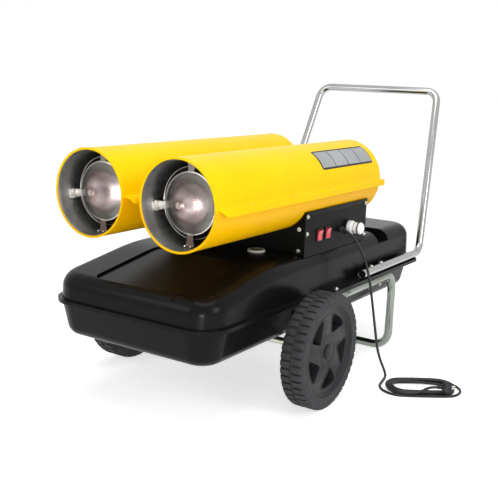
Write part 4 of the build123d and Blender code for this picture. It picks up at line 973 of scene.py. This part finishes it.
def makeNoseCone(name, x, look):
    tip, rimY = look["tipY"], look["coneRimY"]
    depth = rimY - tip
    shape = bmesh.new()
    # convex spun skin, its flat rim turned out and hemmed
    line = [(0, 0), (4, 0.5), (8.5, 1.9), (12.2, 4.2), (14.8, 6.9)]
    for k in range(1, 13):
        share = k / 13
        bulge = 3.6 * sin(pi * share)
        out = 14.8 + (89 - 14.8) * share + bulge * 0.62
        line.append((out, 6.9 + (depth - 3.2 - 6.9) * share - bulge * 0.78))
    hemmed = [(89.6, -3.0), (90.4, -2.0), (93.4, -1.8), (95.0, -1.2), (95.2, -0.2)]
    hemmed += [(94.2, 0.4), (92.6, 0), (90, -0.2), (88.2, -1.2)]
    line += shifted(0, depth, hemmed)
    back = [(r - 1.0, y + 1.5) for r, y in reversed(line[4:17])]
    line += back + [(8, 4.4), (0, 2.2)]
    turned(shape, [(max(r, 0), tip + y) for r, y in line], (x, 0, barrelZ), "y", 128, closed=False)
    nodes = (name + "_nose_cone",)
    makePiece(name + "NoseCone", shape, "heater", "cone_steel", nodes, smooth=50, origin=(x, 0, barrelZ))
    # four bent tabs from the rim to the liner, a pair of bolts on each foot
    shape = bmesh.new()
    bolts = bmesh.new()
    inner = look["liner"][1]
    for degrees in look["tabTurns"]:
        turn = Matrix.Translation((x, 0, barrelZ)) @ Matrix.Rotation(radians(degrees), 4, "Y")
        half, footHalf = look["tabWidth"] / 2 - 0.5, look["tabWidth"] / 2 + 4.5
        rings = []
        foot = sqrt((inner - 0.4) ** 2 - footHalf**2)
        bend = [(91.5, rimY - 0.2, half), (97, rimY - 0.2, half), (108, rimY + 0.6, half + 0.6)]
        bend += [(121, rimY + 0.6, half + 3), (foot - 4.6, rimY + 0.2, footHalf)]
        bend += [(foot - 2.2, rimY - 0.8, footHalf), (foot - 1.2, rimY - 3, footHalf)]
        bend += [(foot - 1.0, rimY - look["tabFoot"] + 2, footHalf)]
        bend += [(foot - 1.0, rimY - look["tabFoot"], footHalf - 2)]
        for i, (r, y, wide) in enumerate(bend):
            before, after = bend[max(i - 1, 0)], bend[min(i + 1, len(bend) - 1)]
            along = Vector((after[0] - before[0], after[1] - before[1])).normalized()
            out = (along.y * 0.75, -along.x * 0.75)
            ring = []
            for sideway, up in ((-1, 1), (-0.5, 1), (0, 1), (0.5, 1), (1, 1), (1, -1), (0, -1), (-1, -1)):
                sag = 0.0
                if r > 125:  # the foot follows the liner's curve
                    sag = sqrt((inner - 0.4) ** 2 - (wide * sideway) ** 2) - foot
                point = Vector((r + sag + out[0] * up, y + out[1] * up, wide * sideway))
                ring.append(tuple(turn @ point))
            rings.append(ring)
        joinRings(shape, rings)
        for sideway in (-1, 1):
            angle = radians(4.6) * sideway
            spot = turn @ Vector(((inner - 2.6) * cos(angle), rimY - 11, (inner - 2.6) * sin(angle)))
            way = turn.to_3x3() @ Vector((-cos(angle), 0, -sin(angle)))
            hexBolt(bolts, spot, way, 6.0, 3.0, 4.6)
        for sideway in (-4.2, 4.2):
            spot = turn @ Vector((92.8, rimY - 2.2, sideway))
            panScrew(bolts, spot, turn.to_3x3() @ Vector((0, -1, 0)), 2.2, 1.2)
    makePiece(name + "ConeTabs", shape, "heater", "liner_steel", edge=0.3, finish=finishes["tabSteel"])
    makePiece(name + "ConeBolts", bolts, "heater", "bolt_zinc")


for name, side in sides:
    makeLiner(name, side * barrelX, outlet)
    makeBurnerCan(name, side * barrelX, outlet)
    makeNoseCone(name, side * barrelX, outlet)
print("outlets made")


# wheels: solid tyre with two staggered rows of lugs, five window centre, hub cap
wheel = {
    "middleX": 413.5,
    "lugs": 46,
    "ribs": 5,
    "windows": 5,
    "windowTurn": 34.0,
    "faceX": 443.0,
    "discThick": 30.0,
}


def treadHalf(isGroove):
    # from the bead out to the tread and in to the middle: (radius, distance from the middle)
    side = [(150, 36.5), (150.6, 39.2), (152.6, 40.3), (160, 40.5), (167, 40.5), (168, 39.8)]
    side += [(171, 39.8), (172, 40.4), (180.5, 40.3), (182.2, 39.9), (183.4, 38.9)]
    if isGroove:
        side += [(186.5, 38.4), (188.2, 37.2), (188.8, 34), (189, 30), (189, 15), (189, 4.5)]
        return side + [(189, 3), (189.1, 1.4)]
    side += [(187.0, 38.8), (191.0, 38.2), (193.4, 36.2), (194.9, 32.6), (195, 20), (195, 5.2)]
    return side + [(194.2, 4.2), (189.4, 2.8)]


def makeTyre(name, side):
    shape = bmesh.new()
    rows = []
    step = 360 / wheel["lugs"]
    # angle, then whether the outer and the inner half have a groove there
    samples = [(-0.95, 1, 0), (0.95, 1, 0), (1.25, 0, 0), (2.65, 0, 0)]
    samples += [(2.95, 0, 1), (4.85, 0, 1), (5.15, 0, 0), (6.55, 0, 0)]
    for k in range(wheel["lugs"]):
        for angle, outerGroove, innerGroove in samples:
            turn = radians(k * step + angle)
            outer = treadHalf(outerGroove)
            inner = [(r, -dx) for r, dx in reversed(treadHalf(innerGroove))]
            row = []
            for r, dx in outer + [(189, 0)] + inner:
                x = side * (wheel["middleX"] + dx)
                row.append((x, axleY + r * cos(turn), wheelZ + r * sin(turn)))
            rows.append(row)
    joinRings(shape, rows, True, True)
    makePiece(name + "Tyre", shape, name + "_wheel", "tyre_rubber", (name + "_tyre",), edge=0.6, smooth=42)


def windowPoints(turn):
    # one rounded window between two slanting spokes, turned on from its start
    corners = [(127.5, 6), (127.5, 15), (127.5, 25), (127.5, 35), (127.5, 44), (124, 48.5)]
    corners += [(110, 48.6), (90, 46.8), (75, 45.3), (62, 43), (67, 28), (80, 17)]
    corners += [(94.5, 9.6), (110, 4.1), (121, 1.5)]
    points = []
    for radius, angle in corners:
        a = radians(turn + angle)
        points.append((radius * cos(a), radius * sin(a)))
    return points


def makeRim(name, side):
    shape = bmesh.new()
    face, thick = wheel["faceX"], wheel["discThick"]
    turn = Matrix(((0, 0, side, 0), (side, 0, 0, 0), (0, 1, 0, 0), (0, 0, 0, 1)))
    place = Matrix.Translation((side * (face - thick / 2), axleY, wheelZ)) @ turn
    pitch = 360 / wheel["windows"]
    windows = [windowPoints(wheel["windowTurn"] + pitch * k) for k in range(wheel["windows"])]
    disc, bore = ovalPoints(0, 0, 137, 137, 96), ovalPoints(0, 0, 14, 14, 32)
    cutSheet(shape, disc, windows + [bore], thick, 2.4, place, True)
    # raised lip round each window
    for points in windows:
        middle = Vector((sum(p[0] for p in points) / len(points), sum(p[1] for p in points) / len(points)))
        lift = Matrix.Translation((side * (face - 1.2), axleY, wheelZ)) @ turn
        inner = [tuple(middle + (Vector(p) - middle) * 0.98) for p in points]
        outer = [tuple(middle + (Vector(p) - middle) * 1.06) for p in points]
        cutSheet(shape, outer, [inner], 4.6, 1.2, lift, "all")
    centre = (0, axleY, wheelZ)

    def along(points):
        return [(r, side * x) for r, x in points]

    band = [(134, 377), (149.8, 377), (149.8, 449.2), (149, 450.2), (146.6, 450.2), (144.8, 449.2)]
    band += [(141.5, 445.4), (138, 443.6), (134, 442.6), (134, 412)]
    turned(shape, along(band), centre, "x", 128)
    hub = [(12.7, 377.2), (34, 377.2), (36, 380), (37.5, 412), (46, 413), (50, 442.4)]
    hub += [(49, 443.6), (42, 444.2), (38, 443.6), (36, 440), (34.5, 437.2), (12.7, 437.2)]
    turned(shape, along(hub), centre, "x", 64)
    low, high = sorted((side * 380, side * 414))
    for k in range(wheel["ribs"]):  # stiffening ribs behind the face
        a = radians(side * (wheel["windowTurn"] + 61 + 360 / wheel["ribs"] * k))
        rib = Matrix.Translation(centre) @ Matrix.Rotation(a, 4, "X")
        block(shape, (low, 34, -2), (high, 136, 2), 0.6, rib)
    makePiece(name + "Rim", shape, name + "_wheel", "rim_plastic", (name + "_rim",), smooth=38)
    cap = bmesh.new()
    dome = [(21.6, 437), (25, 437), (25, 445), (24.4, 447.4), (22.4, 449.4), (18, 450.6)]
    dome += [(13.5, 451), (12.6, 450.2), (11.4, 450.2), (10.4, 451.2), (6, 451.7)]
    dome += [(0, 451.8), (0, 449.6), (16, 449), (21.6, 445.8)]
    turned(cap, along(dome), centre, "x", 64, closed=False)
    makePiece(name + "HubCap", cap, name + "_wheel", "rim_plastic", (name + "_hub_cap",), smooth=34)


for name, side in sides:
    makeTyre(name, side)
    makeRim(name, side)
print("wheels made")


# control panel: folded lip, hexagon screws on washers, rockers, thermostat plug
panel = {
    "x": 301.5,
    "front": -289.75,
    "rear": 171.75,
    "top": 634.0,
    "across": 8.6,
    "head": 3.6,
    "washer": 7.4,
    "sideScrews": ((-276.25, 618), (-276.25, 559), (159.75, 618), (159.75, 500)),
    "frontScrews": ((279, 500), (279, 574)),
}


def makePanelTrim(look):
    x, top = look["x"], look["top"]
    shape = bmesh.new()
    lip = [(-0.2, -15), (1.0, -12), (1.5, -7), (2.3, -3.4), (2.6, -1)]
    lip = shifted(x, top, lip + [(1.6, 0.9), (-0.8, 1.1), (-1.5, -0.6), (-0.2, -2)])
    joinRings(shape, [[(px, y, pz) for px, pz in lip] for y in (look["front"] + 0.4, look["rear"] - 0.4)])
    makePiece("panelLip", shape, "heater", "housing_paint", edge=0.3)
    screws = bmesh.new()
    for y, z in look["sideScrews"]:
        hexBolt(screws, (x, y, z), (1, 0, 0), look["across"], look["head"], look["washer"])
    for sx, z in look["frontScrews"]:
        hexBolt(screws, (sx, look["front"], z), (0, -1, 0), look["across"], look["head"], look["washer"])
    makePiece("panelScrews", screws, "heater", "bolt_zinc", ("cover_screws",))


rocker = {"pivot": (299.5, 546.0), "width": 27.0, "half": 17.5, "thick": 12.0, "tilt": 7.0, "pinReach": 14.7}


def makeRocker(end, y, look):
    # rocker with a dished face, pressed in at its lower end
    half, thick = look["half"], look["thick"]
    profile = [(-6, -half * 0.5), (4, -half), (thick - 1.0, -half), (thick - 0.1, -half + 0.9)]
    for k in range(9):
        z = (-half + 2.4) + (2 * half - 4.8) * k / 8
        profile.append((thick - 2.6 + 2.5 * (abs(z) / half) ** 1.7, z))
    profile += [(thick - 0.1, half - 0.9), (thick - 1.0, half), (4, half), (-6, half * 0.5)]
    tilt = radians(look["tilt"])
    shape = bmesh.new()
    rings = []
    for side in (-1, 1):
        ring = []
        for px, pz in profile:
            x = look["pivot"][0] + px * cos(tilt) + pz * sin(tilt)
            ring.append((x, y + side * look["width"] / 2, look["pivot"][1] - px * sin(tilt) + pz * cos(tilt)))
        rings.append(ring)
    joinRings(shape, rings)
    reach = look["pinReach"]
    px, pz = look["pivot"]
    rod(shape, (px, y - reach, pz), (px, y + reach, pz), 1.5, 16)
    nodes = (end + "_rocker",)
    makePiece(end + "Rocker", shape, end + "_switch", "rocker_red", nodes, edge=0.5, smooth=32)


thermostat = {"y": 17.75, "z": 546.0, "start": 309.5, "ribs": 28, "nose": 19.0, "noseLength": 14.0}


def makeThermostatPlug(look):
    # blank plug: ribbed locking ring, stepped body, dark ring near its outer end
    shape = bmesh.new()
    start = look["start"]
    centre = (0, look["y"], look["z"])
    n = look["nose"]
    core = [(0, -look["noseLength"]), (n - 1, -look["noseLength"]), (n, -13), (n, 1), (21.5, 1), (21.5, 20)]
    core += [(21.0, 21), (20.4, 23), (20.4, 36), (21.2, 37), (21.6, 38), (21.6, 47), (20.6, 50), (17.4, 53.4)]
    core += [(13, 54.6), (9.6, 54.8), (9.0, 54.0), (0, 54.0)]
    turned(shape, shifted(0, start, core), centre, "x", 72, closed=False)
    count = look["ribs"] * 4
    rings = []
    for k in range(count):
        turn = 2 * pi * k / count
        r = 24.4 if k % 4 < 2 else 23.3
        section = [(21, start + 0.3), (r - 0.6, start + 0.3), (r, start + 1.2)]
        section += [(r, start + 16), (r - 1.2, start + 17.6), (21, start + 18)]
        rings.append([(x, look["y"] + q * cos(turn), look["z"] + q * sin(turn)) for q, x in section])
    joinRings(shape, rings, False, True)
    for side in (-1, 1):  # two grips on the body
        y = look["y"] + side * 19
        block(shape, (start + 24, y - 2.2, look["z"] - 5), (start + 35, y + 2.2, look["z"] + 5), 1.0)
    makePiece("thermostatPlug", shape, "control_plug", "plug_white", ("thermostat_plug",), smooth=30)
    ring = bmesh.new()
    wide = [(20.0, 39.4), (22.0, 39.4), (22.3, 40), (22.3, 44), (22.0, 44.6), (20.0, 44.6)]
    narrow = [(20.0, 24.6), (20.9, 24.6), (20.9, 26.4), (20.0, 26.4)]
    for band in (wide, narrow):
        turned(ring, shifted(0, start, band), centre, "x", 72)
    makePiece("thermostatBands", ring, "control_plug", "switch_black", edge=0.2)


makePanelTrim(panel)
makeRocker("front", -193.25, rocker)
makeRocker("rear", -134.25, rocker)
makeThermostatPlug(thermostat)
print("control panel made")


# tank fittings: gauge ring and marks, ribbed filler cap
gauge = {
    "x": 140.0,
    "y": -336.25,
    "z": 488.0,
    "radius": 29.0,
    "height": 5.0,
    "face": 1.2,
    "marks": 9,
    "markEnd": 23.6,
}


def makeGaugeTrim(look):
    shape = bmesh.new()
    r, z, h = look["radius"], look["z"], look["height"]
    rim = [(r - 3.2, z + 1.2)]
    rim += shifted(r, z + h, [(-3.2, -0.4), (-2.6, 0.3), (-1, 0.4), (0.1, -0.5), (0.4, -1.8)])
    rim += shifted(r, z, [(0.6, 0.9), (2.2, 0.4), (2.4, -0.2), (-1, -0.2)])
    turned(shape, rim, (look["x"], look["y"], 0), "z", 72)
    makePiece("gaugeRing", shape, "heater", "gauge_white", smooth=35)
    marks = bmesh.new()
    for k in range(look["marks"]):
        angle = radians(180 - 90 * k / (look["marks"] - 1))
        turn = Matrix.Translation((look["x"], look["y"], 0)) @ Matrix.Rotation(angle, 4, "Z")
        long = 6.0 if k % 4 == 0 else 3.6
        end = look["markEnd"]
        block(marks, (end - long, -0.5, z + look["face"] - 0.1), (end, 0.5, z + look["face"] + 0.25), 0, turn)
    makePiece("gaugeMarks", marks, "heater", "switch_black")


filler = {"x": 232.0, "y": 313.75, "low": 449.0, "top": 467.3, "inner": 28.9, "ribs": 24}


def makeFillerCap(look):
    # cap with grip ribs, a raised bar across its top
    shape = bmesh.new()
    low, top, inner = look["low"], look["top"], look["inner"]
    count = look["ribs"] * 6
    rings = []
    for k in range(count):
        turn = 2 * pi * k / count
        r = (32.4, 32.4, 32.0, 31.0, 31.0, 32.0)[k % 6]
        section = [(inner, low), (r - 0.4, low), (r, low + 0.6), (r, top - 0.4), (r - 1.2, top + 1.6)]
        section += [(29.4, top + 3.0), (27.4, top + 3.5), (25.6, top + 3.4), (24.8, top + 2.7)]
        section += [(0.01, top + 2.7), (0.01, top), (inner, top)]
        rings.append([(look["x"] + q * cos(turn), look["y"] + q * sin(turn), z) for q, z in section])
    joinRings(shape, rings, True, True)
    block(shape, (look["x"] - 23, look["y"] - 4, top + 2.4), (look["x"] + 23, look["y"] + 4, top + 3.5), 0.5)
    makePiece("fillerCap", shape, "tank_cap", "cap_plastic", ("filler_cap",), smooth=34)


makeGaugeTrim(gauge)
makeFillerCap(filler)
print("tank fittings made")


# bolts through the tubes and the tank's flange, weld beads, mouths of the handle tube
tubeEnd = {"x": 354.0, "z": 367.6, "radius": 16.0, "bore": 14.0, "reach": 7.0, "cap": 4.0}


def makeTubeEnds(look):
    # open front ends of the handle tube, each with a black plug set into its mouth
    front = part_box("handle_tube")[0][1] / mm
    rings, plugs = bmesh.new(), bmesh.new()
    for _, side in sides:
        centre = (side * look["x"], 0, look["z"])
        r, bore, out = look["radius"], look["bore"], front - look["reach"]
        line = [(bore, front + 0.4), (bore, out + 0.8), (bore + 0.6, out)]
        line += [(r - 0.4, out), (r, out + 0.8), (r, front + 0.4)]
        turned(rings, line, centre, "y", 48)
        line = [(0, front - 2), (bore - 0.1, front - 2), (bore - 0.1, out + look["cap"])]
        line += [(bore - 1.2, out + look["cap"] - 1), (bore * 0.6, out + look["cap"] - 0.2)]
        line += [(0, out + look["cap"])]
        turned(plugs, line, centre, "y", 48, closed=False)
    makePiece("handleTubeMouths", rings, "heater", "tube_zinc", finish=finishes["handlePlate"])
    makePiece("handleTubePlugs", plugs, "heater", "cap_plastic")


tubeBolts = {
    "x": 354.0,
    "clampBacks": (133.75, 220.75),
    "flangeBack": -143.25,
    "clampTop": 383.9,
    "flangeTop": 351.3,
    "under": 306.7,
    "across": 13.0,
    "height": 5.8,
    "washer": 9.5,
}


def makeTubeBolts(look):
    shape = bmesh.new()
    places = [(y, look["clampTop"]) for y in look["clampBacks"]] + [(look["flangeBack"], look["flangeTop"])]
    for _, side in sides:
        x = side * look["x"]
        for y, top in places:
            for z, up in ((top, 1), (look["under"], -1)):
                hexBolt(shape, (x, y, z), (0, 0, up), look["across"], look["height"], look["washer"])
            rod(shape, (x, y, look["under"] - 12.4), (x, y, top + 1), 4.0, 20, 0.8)
    makePiece("tubeBolts", shape, "heater", "bolt_zinc", ("frame_bolts",))


weld = {"x": 354.0, "z": 309.5, "half": 34.0, "size": 2.4, "pitch": 3.2}


def makeWelds(look):
    # scalloped beads where the hanger plates meet the frame tubes
    shape = bmesh.new()
    count = int(2 * look["half"] / look["pitch"])
    for _, side in sides:
        for face in (-1, 1):
            for k in range(count):
                y = axleY - look["half"] + look["pitch"] * (k + 0.5)
                spot = (side * look["x"] + face * 4.2, y, look["z"] - 1.4)
                place = Matrix.Translation(spot) @ Matrix.Diagonal((1.2, 1, 1, 1))
                bmesh.ops.create_icosphere(shape, subdivisions=2, radius=look["size"], matrix=place)
    makePiece("hangerWelds", shape, "heater", "tube_zinc", smooth=60)


makeTubeBolts(tubeBolts)
makeTubeEnds(tubeEnd)
makeWelds(weld)
print("tube fittings made")


# rear guards: round wire rings welded on crossed spokes
guard = {"y": 235.25, "wire": 1.5, "rings": 9, "hub": 22.0, "outer": 138.2, "spokes": 8}


def makeGuard(name, x, look):
    shape = bmesh.new()
    wire = look["wire"]
    step = (look["outer"] - look["hub"]) / look["rings"]
    radii = [look["hub"] - wire] + [look["hub"] + k * step - wire for k in range(1, look["rings"])]
    for r in radii:
        section = ovalPoints(r, look["y"], wire, wire, 10)
        turned(shape, section, (x, 0, barrelZ), "y", 96)
    r = look["outer"] - 2.9
    section = ovalPoints(r, look["y"] - 1.0, 2.8, 2.6, 14)
    turned(shape, section, (x, 0, barrelZ), "y", 128)
    for k in range(look["spokes"]):
        turn = 2 * pi * k / look["spokes"]
        ends = []
        for reach in (look["hub"] - 2 * wire, look["outer"] - 2.5):
            ends.append((x + reach * cos(turn), look["y"] - 2.2, barrelZ + reach * sin(turn)))
        rod(shape, ends[0], ends[1], 1.9, 12, 0.3)
    plate = [(0.01, 2.2), (12, 2.2), (15, 1.6), (19.5, 0.6), (20.5, -0.4), (20.2, -1.4)]
    plate += [(15, -0.6), (0.01, 0.2)]
    turned(shape, shifted(0, look["y"], plate), (x, 0, barrelZ), "y", 64)
    makePiece(name + "Guard", shape, "heater", "wire_steel", (name + "_rear_grille",), smooth=50)


# fans: twisted blades on a turned hub
fan = {
    "front": 78.0,
    "hub": 27.0,
    "length": 46.0,
    "tip": 131.0,
    "blades": 6,
    "rootPitch": 46.0,
    "tipPitch": 27.0,
    "rootWidth": 40.0,
    "tipWidth": 66.0,
    "sheet": 1.1,
    "camber": 3.4,
}


def makeFan(name, x, look):
    shape = bmesh.new()
    front = look["front"]
    hub = [(7.1, 0), (20, 0), (22, 1), (24, 6), (25.6, 8), (27, 9), (27, 37), (25.6, 38), (24, 40)]
    hub += [(21, 46), (12, 46), (7.1, 45.6)]
    turned(shape, shifted(0, front, hub), (x, 0, barrelZ), "y", 72)
    middle = front + look["length"] / 2
    stations, across = 12, 10
    for k in range(look["blades"]):
        lay = Matrix.Rotation(radians(360 / look["blades"] * k), 3, "Y")
        rings = []
        for i in range(stations + 1):
            share = i / stations
            r = look["hub"] - 4 + (look["tip"] - look["hub"] + 4) * share
            pitch = radians(look["rootPitch"] + (look["tipPitch"] - look["rootPitch"]) * share**0.8)
            width = look["rootWidth"] + (look["tipWidth"] - look["rootWidth"]) * share**0.7
            trim = 1 if share < 0.86 else sqrt(max(1 - ((share - 0.86) / 0.14) ** 2 * 0.36, 0.1))
            upper, lower = [], []
            for j in range(across + 1):
                c = (j / across - 0.5) * width * trim
                bow = look["camber"] * (1 - (2 * j / across - 1) ** 2)
                flat = c * cos(pitch)
                spread = sqrt(max(r * r - flat * flat, 1))
                for rows, thick in ((upper, look["sheet"]), (lower, -look["sheet"])):
                    y = -c * sin(pitch) + (bow + thick) * cos(pitch)
                    point = lay @ Vector((spread, y, flat + (bow + thick) * sin(pitch) * 0.5))
                    rows.append((x + point.x, middle + point.y, barrelZ + point.z))
            rings.append(upper + lower[::-1])
        joinRings(shape, rings)
    for k in range(3):  # set screws in the hub's collar
        turn = radians(120 * k + 30)
        way = (cos(turn), 0, sin(turn))
        panScrew(shape, (x + 23 * way[0], front + 43, barrelZ + 23 * way[2]), way, 2.6, 1.0)
    makePiece(name + "Fan", shape, name + "_rotor", "fan_sheet", (name + "_fan",), smooth=40)


# motors: finned can between two end bells held by through bolts
motor = {"front": -64.0, "rear": 58.0, "radius": 54.0, "fins": 36}


def makeMotor(name, x, look):
    shape = bmesh.new()
    front, rear, radius = look["front"], look["rear"], look["radius"]
    half = [(7.2, 0), (16, 0), (18, 1.2), (34, 2.4), (44, 5), (46, 8), (51, 10)]
    half += [(52.4, 12), (52.4, 22), (50.6, 24)]
    bell = [(r, front + y) for r, y in half] + [(r, rear - y) for r, y in reversed(half)]
    turned(shape, bell, (x, 0, barrelZ), "y", 96)
    for k in range(look["fins"]):
        angle = radians(360 / look["fins"] * (k + 0.5))
        turn = Matrix.Translation((x, 0, barrelZ)) @ Matrix.Rotation(angle, 4, "Y")
        block(shape, (50, front + 25, -1.1), (radius - 0.2, rear - 25, 1.1), 0.4, turn)
    for k in range(4):
        turn = radians(90 * k + 22)
        px, pz = x + 40 * cos(turn), barrelZ + 40 * sin(turn)
        hexBolt(shape, (px, rear - 4.4, pz), (0, 1, 0), 7.0, 3.4, 5.0)
    makePiece(name + "Motor", shape, "heater", "motor_paint", (name + "_motor",), smooth=36)


for name, side in sides:
    makeGuard(name, side * barrelX, guard)
    makeFan(name, side * barrelX, fan)
    makeMotor(name, side * barrelX, motor)
print("guards, fans and motors made")


# blank data plate riveted on the outer flank of the upper casing
dataPlate = {
    "from": 28.0,
    "to": 61.0,
    "front": -178.0,
    "rear": 207.0,
    "radius": 140.1,
    "thick": 0.6,
    "fields": 4,
    "gap": 8.0,
    "margin": 2.8,
}


def bentSheet(shape, look, side, turns, ends, lift):
    # thin sheet bent to the casing's curve, with a slightly sloped edge
    low, high = look["radius"] + lift, look["radius"] + lift + look["thick"]
    rings = []
    for k in range(25):
        turn = radians(turns[0] + (turns[1] - turns[0]) * k / 24)
        section = ((low, ends[0]), (high, ends[0] + 0.3), (high, ends[1] - 0.3), (low, ends[1]))
        rings.append([(side * (barrelX + r * cos(turn)), y, barrelZ + r * sin(turn)) for r, y in section])
    joinRings(shape, rings)


def makeDataPlate(look, side):
    # dark backing with bare satin fields, riveted at its corners
    back, fields, rivets = bmesh.new(), bmesh.new(), bmesh.new()
    bentSheet(back, look, side, (look["from"], look["to"]), (look["front"], look["rear"]), 0)
    gap = look["gap"]
    wide = (look["rear"] - look["front"] - gap) / look["fields"]
    for k in range(look["fields"]):
        start = look["front"] + gap + wide * k
        turns = (look["from"] + look["margin"], look["to"] - look["margin"])
        bentSheet(fields, look, side, turns, (start, start + wide - gap * 0.6), look["thick"] - 0.1)
    for angle in (look["from"] + 1.1, look["to"] - 1.1):
        for y in (look["front"] + 2.8, look["rear"] - 2.8):
            turn = radians(angle)
            way = (side * cos(turn), 0, sin(turn))
            r = look["radius"] + look["thick"]
            panScrew(rivets, (side * barrelX + r * way[0], y, barrelZ + r * way[2]), way, 1.9, 1.0)
    makePiece("dataPlate", back, "heater", "housing_paint", finish=finishes["darkTrim"], smooth=30)
    makePiece("dataPlateFields", fields, "heater", "bolt_zinc", finish=finishes["satinPlate"], smooth=30)
    makePiece("dataPlateRivets", rivets, "heater", "bolt_zinc")


makeDataPlate(dataPlate, 1)


# low moulded bar along the tank's front shoulder
frontBar = {"x": (-62.0, 172.0), "middle": (-823.0, 419.0), "half": 9.5, "rise": 2.6, "steps": 60}


def makeFrontBar(look):
    skin = BVHTree.FromObject(frame["nodes"]["fuel_tank"], bpy.context.evaluated_depsgraph_get())
    toSkin = Vector((0, 1, -1)).normalized()
    upward = Vector((0, 1, 1)).normalized()
    middle = Vector((0, look["middle"][0], look["middle"][1]))
    low, high = look["x"]
    half, steps = look["half"], look["steps"]
    # share of the half width and of the rise, from one side of the bar to the other
    section = [(-1, -0.6), (-1, 0.4), (-0.9, 0.85), (-0.74, 1), (0, 1.05)]
    section += [(-share, lift) for share, lift in section[3::-1]]
    shape = bmesh.new()
    rings = []
    for k in range(steps + 1):
        x = low + (high - low) * (1 - cos(pi * k / steps)) / 2
        fromEnd = min(x - low, high - x, half)
        wide = max(sqrt(max(half**2 - (half - fromEnd) ** 2, 0)), 0.4)
        ring = []
        for share, lift in section:
            start = (middle + upward * wide * share - toSkin * 300 + Vector((x, 0, 0))) * mm
            spot = skin.ray_cast(start, toSkin)[0]
            ring.append(tuple(spot / mm - toSkin * lift * look["rise"]))
        rings.append(ring)
    joinRings(shape, rings)
    makePiece("tankFrontBar", shape, "heater", "tank_plastic", smooth=60)


makeFrontBar(frontBar)


# rounded edges on the pieces taken over from the CAD
softNodes = {
    "fuel_tank": 1.2,
    "control_housing": 0.5,
    "cover_panel": 0.4,
    "switch_housings": 0.7,
    "thermostat_socket": 0.8,
    "axle_retainers": 0.4,
    "axle": 0.6,
    "drain_plug": 0.6,
    "saddle_bolts": 0.4,
    "burner_controllers": 1.2,
    "ignition_transformers": 1.2,
    "left_motor_bracket": 0.4,
    "right_motor_bracket": 0.4,
    "left_oil_pump": 0.9,
    "right_oil_pump": 0.9,
}


def softenNode(name, width):
    made = frame["nodes"][name]
    joined = made.modifiers.new("joined", "WELD")
    joined.merge_threshold = 0.01 * mm
    softenEdges(made, width, 30)
    made.modifiers.new("evenNormals", "WEIGHTED_NORMAL")


for name, width in softNodes.items():
    softenNode(name, width)
print("edges softened")
